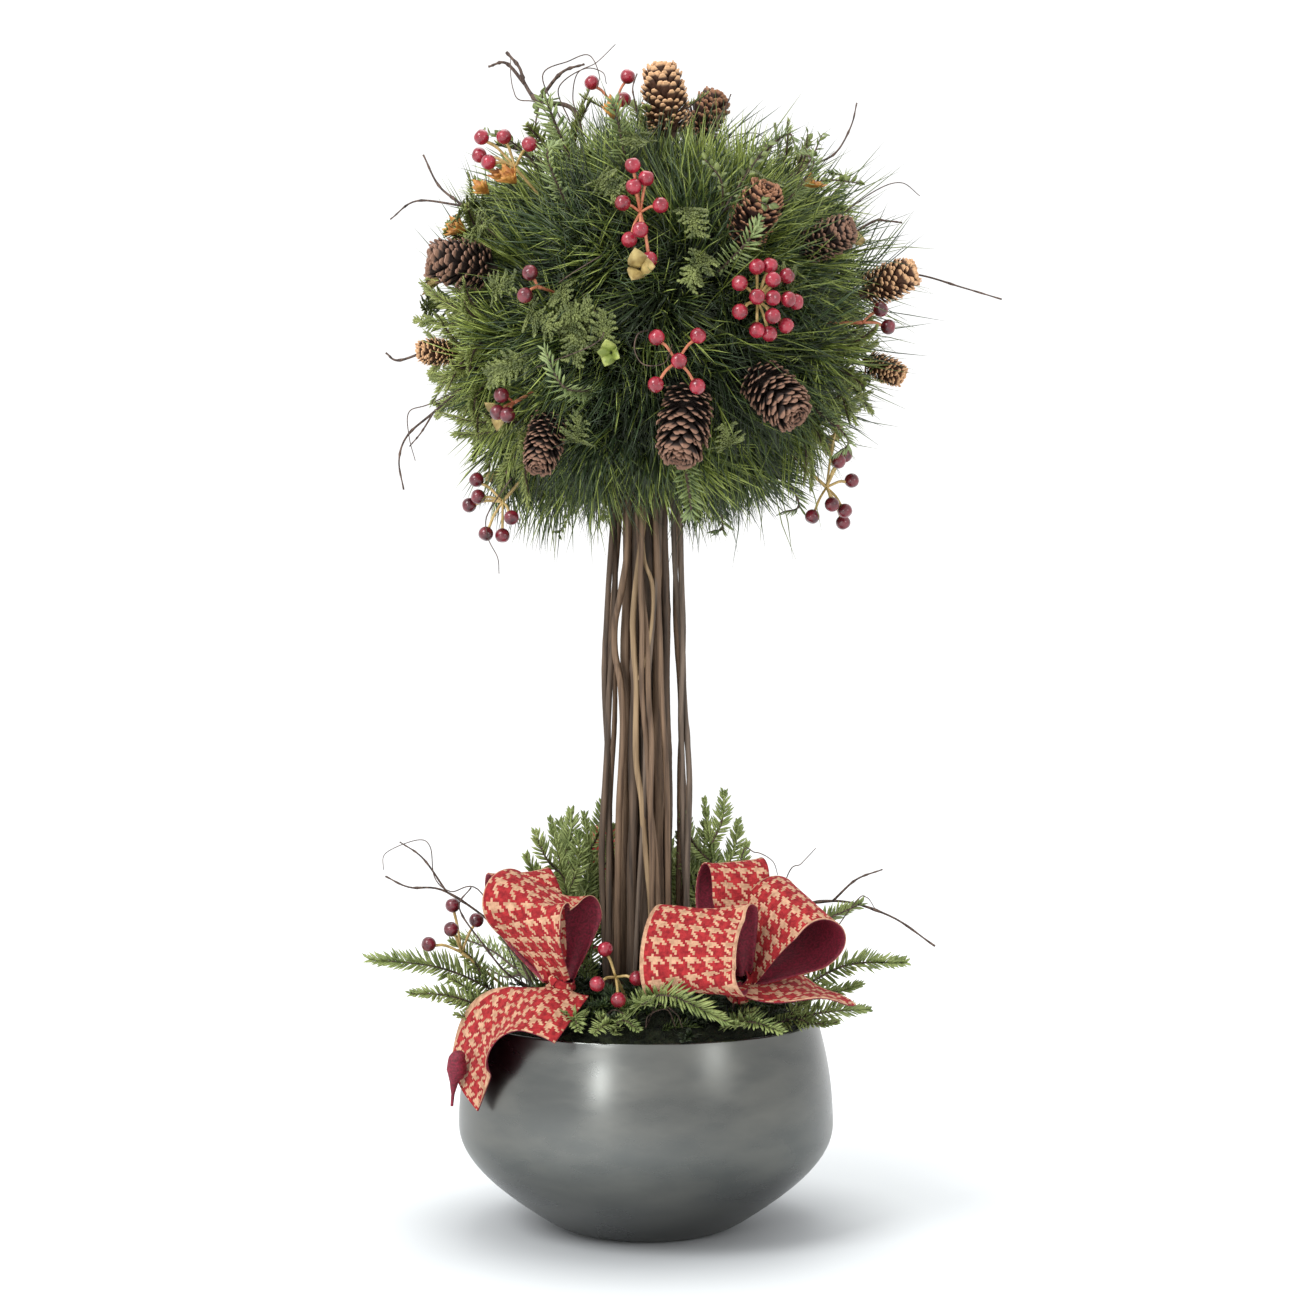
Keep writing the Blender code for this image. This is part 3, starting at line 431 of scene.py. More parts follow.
def moss_bed():
    """The dome from its edge to the middle, raised by noise, over a plain plug that fills the bowl."""
    edge = BED_EDGE - BED_CLEARANCE
    r = np.linspace(edge, 0.001, BED_ROWS)
    plug = [[0, PLUG_FOOT], [PLUG_RADIUS, PLUG_FOOT], [edge - 0.002, PLUG_TOP]]
    dome = np.stack([r, bed_height(r)], axis=-1)
    points, quads, tris, uv = turned(np.vstack([plug, dome, [0, CROWN_HEIGHT]]), BED_TURNS)
    rough = ripple(points, 0.012, 3) * 0.0022 + ripple(points, 0.0045, 4) * 0.0009
    inner = np.hypot(points[:, 0], points[:, 1]) < edge - 0.004
    points[:, 2] += np.where(inner & (points[:, 2] > 0.12), rough - 0.001, 0)
    return points, quads, tris, uv


# painted shade: dark green moss made near black for the shade under the ball and the greens
moss = mottled("moss", (0.005, 0.008, 0.004), (0.026, 0.034, 0.013), 160.0, 0.95, bump=0.6, depth=0.002)
shown("moss_bed", moss_bed(), moss, stands_for=["pot_filling"])

# %% [markdown]
# ## The trunk
# The trunk is a bundle of dried vine stems, each as thick as a pencil, wired together. One fat trunk
# with a bark picture would miss the gaps between them. Each stem is a tube whose radius carries
# grooves that run with it, low swellings where leaves once grew, and fine roughness. Thinner vines
# wander over the front and back of the bundle, and each vine has one of four barks.

# %% Places and barks of the vines
POST_RADIUS, POST_FOOT, POST_TOP, POST_ROWS, POST_SIDES = 0.01029, 0.0603, 0.600, 60, 24
STEM_FOOT, STEM_TOP, STEM_RADIUS = 0.1623, 0.5447, 0.0038
BUNDLE_FOOT_RADIUS, BUNDLE_TOP_RADIUS = 0.0160, 0.0118
VINE_ROWS, VINE_SIDES, VINE_WANDER = 130, 14, 0.0006
KNOTS_PER_VINE, KNOT_HEIGHT, KNOT_SIZES = 6, 0.0045, (0.05, 0.16)
TWINE_TURNS, TWINE_OFFSET, TWINE_THICKNESS = 1.15, 0.75, 0.62
STEM_BARKS = ("dark", "brown", "dark", "tan", "brown", "brown", "dark", "brown", "dark")
# foot angle and radius, top angle and radius, bow; thickness; bark
LOOSE_STEMS = (
    (-72, 0.0285, -82, 0.0200, 0.0035, 0.0034, "dark"),
    (-108, 0.0255, -116, 0.0200, 0.0040, 0.0030, "brown"),
    (78, 0.0290, 72, 0.0198, 0.0030, 0.0032, "grey"),
    (112, 0.0265, 104, 0.0198, 0.0030, 0.0030, "brown"),
    (22, 0.0250, -18, 0.0198, 0.0010, 0.0030, "brown"),
)
# points in millimetres, from the top down; thickness; bark
THIN_VINES = (
    ([(-2, -15, 512), (-2, -18, 490), (-8.5, -20, 430), (-8.6, -20, 406), (-6.5, -21, 378), (-7, -21, 349),
      (-6.5, -22, 321), (-3, -22, 299), (-1.5, -22, 275), (1.3, -23, 247), (3.4, -23, 222), (4, -23, 170)],
     0.0021, "tan"),
    ([(-3, -16, 486), (-1, -19, 463), (4, -20, 448), (4.8, -20, 428), (1.3, -21, 402), (-5, -22, 380)],
     0.0014, "tan"),
    ([(5, -15, 512), (7, -18, 480), (9.7, -18, 406), (11, -19, 364), (13.9, -18, 321), (15, -17, 263),
      (15, -18, 170)], 0.0020, "brown"),
    ([(-12, -12, 510), (-13, -14, 469), (-17.5, -13, 440), (-21.6, -8, 420), (-21.6, -7, 399),
      (-17.5, -13, 377), (-16, -15, 340), (-19, -14, 280), (-20, -12, 170)], 0.0024, "brown"),
    ([(10, -13, 505), (8, -18, 455), (3, -20, 400), (0, -21, 350), (-1, -22, 300), (-4, -22, 250),
      (-8, -21, 170)], 0.0017, "grey"),
    ([(0, 16, 512), (6, 20, 440), (-2, 21, 360), (5, 22, 280), (-4, 23, 170)], 0.0022, "tan"),
    ([(12, 12, 510), (10, 18, 430), (15, 17, 340), (10, 20, 260), (13, 19, 170)], 0.0020, "brown"),
    ([(-9, 14, 508), (-14, 15, 420), (-8, 20, 340), (-14, 17, 250), (-12, 19, 170)], 0.0018, "grey"),
)
# dark tone, light tone, and the solids that the vines of this bark stand for
BARKS = {
    "dark": ((0.032, 0.020, 0.012), (0.115, 0.074, 0.047), ["stem_bundle", "loose_stem_1"]),
    "brown": ((0.070, 0.040, 0.022), (0.205, 0.130, 0.077), ["loose_stem_2", "loose_stem_4", "loose_stem_5"]),
    "tan": ((0.150, 0.096, 0.048), (0.335, 0.232, 0.128), []),
    "grey": ((0.052, 0.037, 0.026), (0.168, 0.122, 0.088), ["loose_stem_3"]),
}
print("vines to grow:", len(STEM_BARKS) + 2 * len(LOOSE_STEMS) + len(THIN_VINES))


# %% Vines with bark
def vine_path(foot_angle, foot_radius, top_angle, top_radius, bow, seed):
    """Angle and radius change evenly up the trunk, with a bow sin(pi t) and a slight wander."""
    t = np.linspace(0, 1, VINE_ROWS)
    angle = np.radians(foot_angle + (top_angle - foot_angle) * t)
    radius = foot_radius + (top_radius - foot_radius) * t + bow * np.sin(pi * t)
    height = STEM_FOOT + (STEM_TOP - STEM_FOOT) * t
    path = np.stack([radius * np.sin(angle), -radius * np.cos(angle), height], axis=-1)
    draw = np.random.default_rng(seed)
    wave = draw.uniform(2.0, 5.0, (2, 1)) * 2 * pi * t[None] + draw.uniform(0, 2 * pi, (2, 1))
    path[:, :2] += (np.sin(wave) * VINE_WANDER * np.sin(pi * t)).T
    return path


def vine(path, thickness, seed):
    """A tube of radius r(1 + grooves + knots + grain): grooves cos(n f + twist z), knots bells in height."""
    draw = np.random.default_rng(seed)
    z = path[:, 2:3]
    f = (2 * pi * np.arange(VINE_SIDES) / VINE_SIDES)[None]
    taper = 1.08 - 0.2 * np.linspace(0, 1, VINE_ROWS)[:, None]
    twist = draw.uniform(-14, 14)
    grooves = 0.050 * np.cos(4 * f + 2 * twist * z + 1.5 * np.sin(z * 60))
    grooves = grooves + 0.030 * np.cos(7 * f - 3 * twist * z)
    knots = sum(draw.uniform(*KNOT_SIZES) * np.exp(-((z - at) / KNOT_HEIGHT) ** 2)
                * (0.6 + 0.4 * np.cos(f - draw.uniform(0, 2 * pi)))
                for at in STEM_FOOT + (STEM_TOP - STEM_FOOT) * draw.uniform(0, 1, KNOTS_PER_VINE))
    grain = draw.uniform(-0.02, 0.02, (VINE_ROWS, VINE_SIDES))
    return tube(path, thickness * taper * (1 + grooves + knots + grain), VINE_SIDES)


def twined(path, thickness, seed):
    """Two thinner vines that wind round one path, each 0.75 r off it, with just over a turn up the trunk."""
    turn = seed + 2 * pi * TWINE_TURNS * np.linspace(0, 1, len(path))
    off = np.stack([np.cos(turn), np.sin(turn), 0 * turn], axis=-1) * TWINE_OFFSET * thickness
    thin = thickness * TWINE_THICKNESS
    return [vine(path + off, thin, seed), vine(path - off, thin, seed + 3)]


def trunk():
    """Vines by bark: the post, the bundle by the solids' own draw of numbers, the loose and the thin ones."""
    dice = random.Random(7)
    made = {bark: [] for bark in BARKS}
    post = np.linspace((0, 0, POST_FOOT), (0, 0, POST_TOP), POST_ROWS)
    made["dark"].append(tube(post, np.full(POST_ROWS, POST_RADIUS), POST_SIDES))
    for i, bark in enumerate(STEM_BARKS):
        angle = 360 * i / len(STEM_BARKS) + dice.uniform(-6, 6)
        foot_radius = BUNDLE_FOOT_RADIUS + dice.uniform(-0.001, 0.002)
        top_angle = angle + dice.uniform(-25, 25)
        bow = dice.uniform(-0.001, 0.002)
        path = vine_path(angle, foot_radius, top_angle, BUNDLE_TOP_RADIUS, bow, 20 + i)
        made[bark].append(vine(path, STEM_RADIUS * dice.uniform(0.85, 1.15), 40 + i))
    for i, (*course, thickness, bark) in enumerate(LOOSE_STEMS):
        made[bark] += twined(vine_path(*course, 60 + i), thickness, 80 + i)
    for i, (points, thickness, bark) in enumerate(THIN_VINES):
        path = smooth_path(metres(points), 12)
        made[bark].append(tube(path, thickness * (1 + 0.05 * ripple(path, 0.03, 90 + i)), 10))
    return made


for bark, vines in trunk().items():
    dark, light, solids = BARKS[bark]
    finish = mottled(f"bark_{bark}", dark, light, (380.0, 380.0, 22.0), 0.74, low=0.34, high=0.68, bump=0.35,
                     depth=0.0006)
    shown(f"vines_{bark}", joined(vines), finish, stands_for=solids)

# %% [markdown]
# ## What sits on the ball
# Cones and berries are placed first, because the needles have to leave them in view. Their places are
# the solids' own: a direction from the ball's centre, given as azimuth from the front and elevation.

# %% Directions and places on the ball
BALL = np.array([0.004, 0.0, 0.6285])


def seat_at(azimuth, elevation, distance):
    """The place at a distance from the ball's centre, in the direction of an azimuth and an elevation."""
    return BALL + outward(azimuth, elevation) * distance


print("the ball's middle:", BALL)

# %% Places of cones and berries
BERRY_RADIUS = 0.0052
# room kept clear of needles, as a share of a cone's width and of a berry's radius
CONE_ROOM, BERRY_ROOM = 0.46, 1.35
# azimuth, elevation and distance of the middle; azimuth and elevation of the tip; length, width; tint
CONES = (
    (8, 66, 0.158, -60, 80, 0.052, 0.033, "golden"),
    (110, 75, 0.152, 75, 58, 0.042, 0.030, "red"),
    (29, 22, 0.150, 35, 48, 0.044, 0.031, "red"),
    (-60, 12, 0.150, -78, 8, 0.044, 0.035, "dark"),
    (75, 8, 0.170, 80, 22, 0.042, 0.028, "golden"),
    (34, -23, 0.156, 50, -42, 0.048, 0.036, "dark"),
    (9, -32, 0.156, -20, -66, 0.056, 0.037, "dark"),
    (88, -11, 0.166, 80, -24, 0.031, 0.021, "golden"),
    (-73, -9, 0.155, -80, 0, 0.027, 0.020, "golden"),
    (-36, -37, 0.152, -25, -62, 0.046, 0.028, "dark"),
    (55, 18, 0.150, 66, 20, 0.040, 0.028, "dark"),
    (152, 28, 0.156, 150, 46, 0.048, 0.033, "golden"),
    (-140, 4, 0.153, -130, -20, 0.050, 0.034, "red"),
    (176, -30, 0.154, 170, -58, 0.054, 0.036, "dark"),
)


def round_hub(azimuth, elevation, spread, count, length):
    """Berry directions evenly round a hub's own direction, at one angle from it."""
    turn = 2 * pi * np.arange(count) / count
    return [(azimuth + spread * cos(a), elevation + spread * sin(a), length) for a in turn]


# hub: azimuth, elevation, distance; berries: azimuth, elevation, stalk length; skin, stalk tint; the dark
# skin is the bright one in painted shade
SPRAYS = (
    ((27, -1, 0.150), round_hub(27, -1, 62, 9, 0.025) + round_hub(27, -1, 30, 4, 0.023) + [(27, -1, 0.020)],
     "bright", "yellow"),
    ((6, -16, 0.158), [(-50, 40, 0.022), (60, 45, 0.022), (-60, -45, 0.022), (50, -45, 0.024),
                       (5, -5, 0.014)], "bright", "orange"),
    ((-3, 21, 0.150), [(-40, 75, 0.030), (30, 70, 0.022), (-60, 20, 0.014), (55, 10, 0.016), (0, -40, 0.022),
                       (30, -70, 0.034), (-25, 55, 0.018), (-40, -60, 0.022)], "bright", "orange"),
    ((-45, 76, 0.152), [(-80, 45, 0.022), (60, 60, 0.022), (20, 0, 0.020)], "bright", "orange"),
    ((-53, 40, 0.150), [(-75, 40, 0.030), (-95, 20, 0.026), (-60, 5, 0.020), (30, 30, 0.024),
                        (-40, 60, 0.022)], "bright", "yellow"),
    ((-80, -50, 0.163), [(-95, 40, 0.024), (-100, -5, 0.024), (-60, -60, 0.026), (20, -30, 0.024),
                         (0, -80, 0.024), (-70, 10, 0.018)], "dark", "yellow"),
    ((88, -43, 0.167), [(60, 80, 0.044), (95, 60, 0.026), (110, 15, 0.020), (60, -50, 0.022),
                        (10, -40, 0.020), (-60, -60, 0.024), (120, -60, 0.028), (20, 40, 0.026)],
     "dark", "yellow"),
    ((70, -2, 0.152), [(60, 30, 0.016), (85, -10, 0.018)], "dark", "orange"),
    ((-30, 3, 0.148), [(-30, 40, 0.012), (-40, -30, 0.014)], "dark", "orange"),
    ((-44, -26, 0.146), [(-44, 20, 0.012), (-60, -30, 0.014), (-20, -40, 0.014)], "dark", "orange"),
    ((138, -12, 0.152), [(120, 40, 0.024), (160, 45, 0.024), (120, -45, 0.024), (165, -40, 0.024)],
     "bright", "yellow"),
    ((-158, 40, 0.152), [(-130, 60, 0.024), (170, 55, 0.024), (-140, 5, 0.024), (175, 10, 0.024)],
     "bright", "orange"),
)


def cone_axis(azimuth, elevation, distance, tip_azimuth, tip_elevation, length):
    """The base point and unit axis of a cone, from its middle and where its tip points."""
    axis = outward(tip_azimuth, tip_elevation)
    return seat_at(azimuth, elevation, distance) - axis * length / 2, axis


def berry_places(hub, berries):
    """The ends of a spray's stalks."""
    return np.array([seat_at(*hub) + outward(a, e) * reach for a, e, reach in berries])


kept_clear = []
for *place, length, width, _ in CONES:
    base, axis = cone_axis(*place, length)
    kept_clear += [(base + axis * length * share, width * CONE_ROOM) for share in (0.22, 0.5, 0.78)]
for hub, berries, _, _ in SPRAYS:
    kept_clear += [(place, BERRY_RADIUS * BERRY_ROOM) for place in berry_places(hub, berries)]
print("balls of room kept clear of needles:", len(kept_clear))

# %% [markdown]
# ## Needles
# Artificial pine is made of picks: a wire stem with long needles that stand out all round it, steep at
# the stem's foot and forward at its tip. Fur from particles would be quicker, but it doesn't survive
# an export. So each needle is a bent spindle of twelve faces, and each pick has one main tint.

# %% Needles as bent spindles
NEEDLE_BEND, SWEEP_SPREAD = (0.02, 0.22), 0.45
LONG_NEEDLE = spindle(circle(3), ((0.16, 0.85), (0.72, 0.80)))
SHORT_NEEDLE = spindle(circle(3), ((0.45, 1.0),))


def needles(origins, axes, lengths, radius, draw, template, sweep=0.0):
    """Spindles along unit axes, each pushed towards its sweep by bend x length x z squared."""
    sweep = sweep + draw.normal(0, SWEEP_SPREAD, axes.shape)
    up = unit(sweep - axes * (sweep * axes).sum(-1, keepdims=True))
    thick = np.broadcast_to(radius, len(origins))
    sizes = np.stack([thick, thick, lengths], axis=-1)
    made = copies(*template, origins, np.cross(up, axes), up, axes, sizes)
    push = draw.uniform(*NEEDLE_BEND, len(origins)) * lengths
    bent = push[:, None, None] * (template[0][:, 2] ** 2)[None, :, None] * up[:, None]
    made[0][:] += bent.reshape(-1, 3).astype(np.float32)
    return made


print("faces of a long and a short needle:", len(LONG_NEEDLE[1]), len(SHORT_NEEDLE[1]))

# %% [markdown]
# ### Tufts
# Each pick makes a tuft. An under layer stands nearly straight out and takes only the two darkest tints,
# as painted shade; over it lie longer tufts that lean far over, so that their needles are seen from the
# side, with dark gaps between them.
# A few thin strays reach out past both. One layer of even fur would be simpler, but it shows no tufts.

# %% Layers and lobes of the tufts
# count, needles each, lean from straight out in degrees, needle length, share of the full reach
UNDER_LAYER = (230, 60, (0, 40), (0.044, 0.056), 0.84)
OVER_LAYER = (280, 92, (12, 82), (0.056, 0.084), 1.0)
STRAY_LAYER = (300, 12, (5, 60), (0.070, 0.100), 1.15)
NEEDLE_RADIUS, STRAY_RADIUS, SHORTEST_NEEDLE = 0.00066, 0.00056, 0.012
STEM_LENGTHS, ROOT_DISTANCE, ROOT_RISE, HANG = (0.018, 0.036), 0.090, 0.034, 0.42
SPLAY_FOOT, SPLAY_TIP, SPLAY_SPREAD = 52, 8, 6
BALL_REACH, POLE_REACH, FURTHEST, REACH_SPREAD = 0.153, 0.139, 0.184, 0.009
TIPS_INSIDE = 0.76
TRUNK_CLEARANCE, TRUNK_TOP = 0.0255, 0.530
ROOM_SHARE = 0.92
# azimuth, elevation, and how much further or less far the tufts reach there
LOBES = (
    (88, 25, 0.024), (88, 58, 0.009), (85, 76, -0.013), (-88, 36, 0.010), (-90, 10, -0.016),
    (-86, -57, 0.028), (-90, -76, -0.009), (88, -60, 0.007), (90, -12, 0.007), (90, -36, 0.005),
    (150, 30, 0.008), (-140, -35, 0.008), (178, 60, -0.006), (-160, 10, 0.006),
)
BELL_WIDTH_DEGREES = 17.0
GOLDEN_ANGLE = pi * (3 - sqrt(5))
print("tufts:", UNDER_LAYER[0], "below,", OVER_LAYER[0], "above and", STRAY_LAYER[0], "of strays")


# %% Needles round a stem
def even_directions(count):
    """A Fibonacci ball: heights in even steps, each turned by the golden angle from the last."""
    k = np.arange(count)
    z = 1 - 2 * (k + 0.5) / count
    level = np.sqrt(1 - z * z)
    return np.stack([level * np.cos(k * GOLDEN_ANGLE), level * np.sin(k * GOLDEN_ANGLE), z], axis=-1)


def pick_needles(roots, ways, stems, count, length, draw):
    """Needles round stems: the splay narrows from foot to tip, each turned by the golden angle."""
    share = (np.arange(count)[None] + draw.uniform(0, 1, (len(roots), count))) / count
    turn = np.arange(count)[None] * GOLDEN_ANGLE + draw.uniform(0, 2 * pi, (len(roots), 1))
    splay = SPLAY_FOOT + (SPLAY_TIP - SPLAY_FOOT) * share + draw.normal(0, SPLAY_SPREAD, share.shape)
    splay = np.radians(splay)[..., None]
    side = unit(np.cross(ways, unit(draw.normal(size=ways.shape))))
    up = np.cross(ways, side)
    away = side[:, None] * np.cos(turn)[..., None] + up[:, None] * np.sin(turn)[..., None]
    axes = ways[:, None] * np.cos(splay) + away * np.sin(splay)
    origins = roots[:, None] + ways[:, None] * (share * stems[:, None])[..., None]
    lengths = length[:, None] * draw.uniform(0.80, 1.10, share.shape)
    return origins.reshape(-1, 3), unit(axes.reshape(-1, 3)), lengths.reshape(-1)


def within_reach(origins, axes, lengths, reach):
    """Shortens a needle so that its tip stays inside a ball: the root of |o + a x| = R."""
    o = origins - BALL
    along = (o * axes).sum(-1)
    room = along ** 2 - (o * o).sum(-1) + reach ** 2
    return np.minimum(lengths, -along + np.sqrt(np.maximum(room, 0)))


def in_view(origins, axes, lengths):
    """True where no point of a needle stands in front of a cone or berry, seen from outside."""
    clear = np.ones(len(origins), bool)
    for centre, radius in kept_clear:
        way, far = unit(centre - BALL), np.linalg.norm(centre - BALL)
        for t in (0.45, 0.75, 1.0):
            p = origins + axes * (lengths * t)[:, None] - BALL
            depth = p @ way
            aside = np.linalg.norm(p - depth[:, None] * way, axis=-1)
            clear &= ~((aside < radius * ROOM_SHARE) & (depth > far - radius))
    return clear


print("longest needle from the middle:", within_reach(BALL[None], np.eye(3)[:1], np.ones(1), BALL_REACH)[0])


# %% Tufts
def bells(directions, places):
    """The sum of amount x exp(-(angle / width)^2) over places given as azimuth, elevation, amount."""
    total = np.zeros(len(directions))
    for azimuth, elevation, amount in places:
        angle = np.degrees(np.arccos(np.clip(directions @ outward(azimuth, elevation), -1, 1)))
        total += amount * np.exp(-((angle / BELL_WIDTH_DEGREES) ** 2))
    return total


def tuft_layer(count, each, lean, length, share, draw):
    """Seats spread evenly, each tuft leaning its own way; the lower ones hang. Returns the needles that stay.

    A tuft is moved in or out until about three of four of its tips lie within the ball's reach, so that
    its own shape shows at the outline, and only a needle that would pass the furthest reach is cut.
    """
    seats = unit(even_directions(count) + draw.normal(0, 0.7 / sqrt(count), (count, 3)))
    aside = unit(np.cross(seats, draw.normal(size=seats.shape)))
    tilt = np.radians(draw.uniform(*lean, count))[:, None]
    hang = np.clip(0.1 - seats[:, 2:], 0, 1) * [0, 0, HANG]
    ways = unit(seats * np.cos(tilt) + aside * np.sin(tilt) - hang)
    roots = BALL + seats * (ROOT_DISTANCE + ROOT_RISE * np.sin(tilt))
    origins, axes, lengths = pick_needles(roots, ways, draw.uniform(*STEM_LENGTHS, count), each,
                                          draw.uniform(*length, count), draw)
    tuft_of = np.repeat(np.arange(count), each)
    tips = origins + axes * lengths[:, None] - BALL
    far = np.linalg.norm(tips, axis=-1).reshape(count, each)
    way_out = unit(tips.reshape(count, each, 3).mean(axis=1))
    reach = BALL_REACH - (BALL_REACH - POLE_REACH) * way_out[:, 2] ** 2 + bells(way_out, LOBES)
    reach = reach + 0.004 * ripple(way_out, 0.6, 31) + draw.uniform(-REACH_SPREAD, REACH_SPREAD, count)
    moved = seats * (reach * share - np.quantile(far, TIPS_INSIDE, axis=1))[:, None]
    origins = origins + moved[tuft_of]
    lengths = within_reach(origins, axes, lengths, FURTHEST * share)
    tips = origins + axes * lengths[:, None]
    kept = (lengths > SHORTEST_NEEDLE) & in_view(origins, axes, lengths)
    kept &= ~((np.hypot(tips[:, 0], tips[:, 1]) < TRUNK_CLEARANCE) & (tips[:, 2] < TRUNK_TOP))
    kept &= np.abs(tips[:, 1]) < FURTHEST - 0.004
    sweep = aside[tuft_of] * 0.7 - [0, 0, 0.45]
    return seats, tuft_of[kept], origins[kept], axes[kept], lengths[kept], sweep[kept]


draw = np.random.default_rng(11)
under = tuft_layer(*UNDER_LAYER, draw)
over = tuft_layer(*OVER_LAYER, draw)
strays = tuft_layer(*STRAY_LAYER, draw)
# strays stand mostly on the right and at the top
likely = 0.28 + strays[0] @ [0.66, 0.0, 0.26]
thinned = (likely > draw.uniform(0, 1, len(likely)))[strays[1]]
strays = (strays[0], *(kept[thinned] for kept in strays[1:]))
print("needles kept:", len(under[1]), "below,", len(over[1]), "above and", len(strays[1]), "strays")

# %% [markdown]
# ### Tints
# A maker mixes picks of several greens. Lighter picks sit in patches, and where cones and berries crowd
# the front the picks are the darkest, partly as painted shade among them. The tufts are also a little
# lighter towards the top and the left, as painted light. Each tuft gets one of five tints by the light of
# its patch, and half of the outer needles take another tint. One green for all would be quicker, but it
# looks dyed.

# %% Tints of the tufts
PINE_TINTS = {
    "pine_deep": ((0.010, 0.017, 0.008), (0.036, 0.052, 0.021)),
    "pine_moss": ((0.020, 0.038, 0.016), (0.064, 0.100, 0.040)),
    "pine_green": ((0.041, 0.067, 0.014), (0.116, 0.162, 0.040)),
    "pine_olive": ((0.090, 0.124, 0.020), (0.218, 0.268, 0.060)),
    "pine_bright": ((0.195, 0.252, 0.046), (0.440, 0.525, 0.140)),
}
# azimuth, elevation, and how much lighter or darker the tufts are there; the dark ones among the cones at the
# front are partly painted shade
PATCHES = (
    (60, 44, 2.3), (80, 30, 1.7), (-64, -4, 1.7), (-76, -16, 1.5), (82, -9, 0.6), (76, -26, 0.5),
    (-88, 62, 0.8), (-30, 28, -1.3), (12, 5, -1.5), (18, -30, -1.3), (-12, -38, -0.7),
    (-40, 8, -0.7), (45, -6, -1.3), (52, -28, -1.9), (0, -60, 0.1), (150, 42, 1.3), (-140, 22, 1.1),
    (-110, -20, 1.0), (125, -5, 0.9), (172, -12, -1.2), (-165, -40, -0.9), (118, -40, -0.8), (-120, 55, -0.6),
)
TINT_SHARES = (0.21, 0.43, 0.69, 0.885)
OTHER_TINT_SHARE = 0.50
# steps to another tint, and how often each is drawn
TINT_STEPS, STEP_SHARES = (-2, -1, 1, 2, 3), (0.16, 0.24, 0.28, 0.20, 0.12)
CORE_RADIUS, CORE_ROWS, CORE_TURNS = 0.100, 48, 72
PIECE_NEEDLES = 16000


def patch_light(seats, draw):
    """Noise, a little light from above and the left, and a bell exp(-(angle/17)^2) for each patch."""
    # painted light: the tufts are a little lighter towards the top and the left
    light = 0.45 * ripple(seats, 0.8, 12) + 0.18 * seats[:, 2] - 0.12 * seats[:, 0]
    return light + draw.normal(0, 0.62, len(seats)) + bells(seats, PATCHES)


def mixed(tints, draw):
    """Some needles are up to three tints lighter or two darker, so that no tuft is all one colour."""
    steps = draw.choice(TINT_STEPS, len(tints), p=STEP_SHARES)
    steps[draw.uniform(size=len(tints)) > OTHER_TINT_SHARE] = 0
    return np.clip(tints + steps, 0, len(PINE_TINTS) - 1)


def ball_core():
    """The inside of the ball: a sphere with noise, near black as painted shade."""
    height = np.linspace(-1, 1, CORE_ROWS)
    profile = CORE_RADIUS * np.stack([np.sqrt(1 - height ** 2), height], axis=-1)
    points, quads, tris, uv = turned(profile, CORE_TURNS)
    points *= (1 + 0.05 * ripple(points, 0.02, 5))[:, None]
    return points + BALL.astype(np.float32), quads, tris, uv


# painted shade: the core is near black so that the gaps between the tufts read as deep shade
inside = mottled("pine_core_painted_shade", (0.004, 0.007, 0.004), (0.014, 0.020, 0.010), 120.0, 0.95, bump=0.5,
                 depth=0.002)
shown("ball_core", ball_core(), inside, stands_for=["pine_ball"])
light_over = patch_light(over[0], draw)
tint_over = np.searchsorted(np.quantile(light_over, TINT_SHARES), light_over)
light_under = patch_light(under[0], draw)
# painted shade: the under layer takes only the two darkest tints, the darker one on its less lit half
painted_shade_tint_under = (light_under > np.quantile(light_under, 0.5)).astype(int)
tints = np.concatenate([painted_shade_tint_under[under[1]], mixed(tint_over[over[1]], draw), 1 + strays[1] % 3])
grown = [np.concatenate(parts) for parts in zip(under[2:], over[2:], strays[2:])]
thick = np.full(len(tints), NEEDLE_RADIUS)
thick[-len(strays[1]):] = STRAY_RADIUS
thick *= draw.uniform(0.80, 1.15, len(thick))
pine_finish = {}
for number, (name, (dark, light)) in enumerate(PINE_TINTS.items()):
    pine_finish[name] = mottled(name, dark, light, 130.0, 0.36, low=0.30, high=0.70, specular=0.40)
    own = np.flatnonzero(tints == number)
    for part, some in enumerate(np.array_split(own, -(-len(own) // PIECE_NEEDLES)), 1):
        origins, axes, lengths, sweep = (values[some] for values in grown)
        made = needles(origins, axes, lengths, thick[some], draw, LONG_NEEDLE, sweep)
        shown(f"{name}_{part}", made, pine_finish[name])

# %% [markdown]
# ## Fir sprigs
# Between the long needles are fir tips with short flat needles. A sprig is a bent rib with needles in
# three ranks, left, right and up, that lie forward and get shorter towards the tip, like a feather.
# A card cut to a feather would be lighter, but it would vanish when seen from its edge.

# %% Flat needles and feathers
BLADE_HALF_WIDTH, BLADE_THICKNESS = 0.00095, 0.35
BLADE = spindle(circle(4), ((0.10, 0.7), (0.62, 1.0)))
RIB_ENDS, SIDE_LIFT, UPPER_RANK = (0.0012, 0.0005), 0.28, 0.75
print("faces of a flat needle:", len(BLADE[1]))


def leaves(origins, axes, normals, lengths, template, half_width=None):
    """Copies along unit axes, upper sides turned to the normals; in proportion, or all of one width."""
    side = unit(np.cross(normals, axes))
    wide = lengths if half_width is None else np.full(len(lengths), half_width)
    thick = lengths if half_width is None else wide * BLADE_THICKNESS
    sizes = np.stack([wide, thick, lengths], axis=-1)
    return copies(*template, origins, side, np.cross(axes, side), axes, sizes)


def sampled(values, run, far):
    """The values given along a path, at some distances along it."""
    return np.stack([np.interp(far, run, column) for column in values.T], axis=-1)


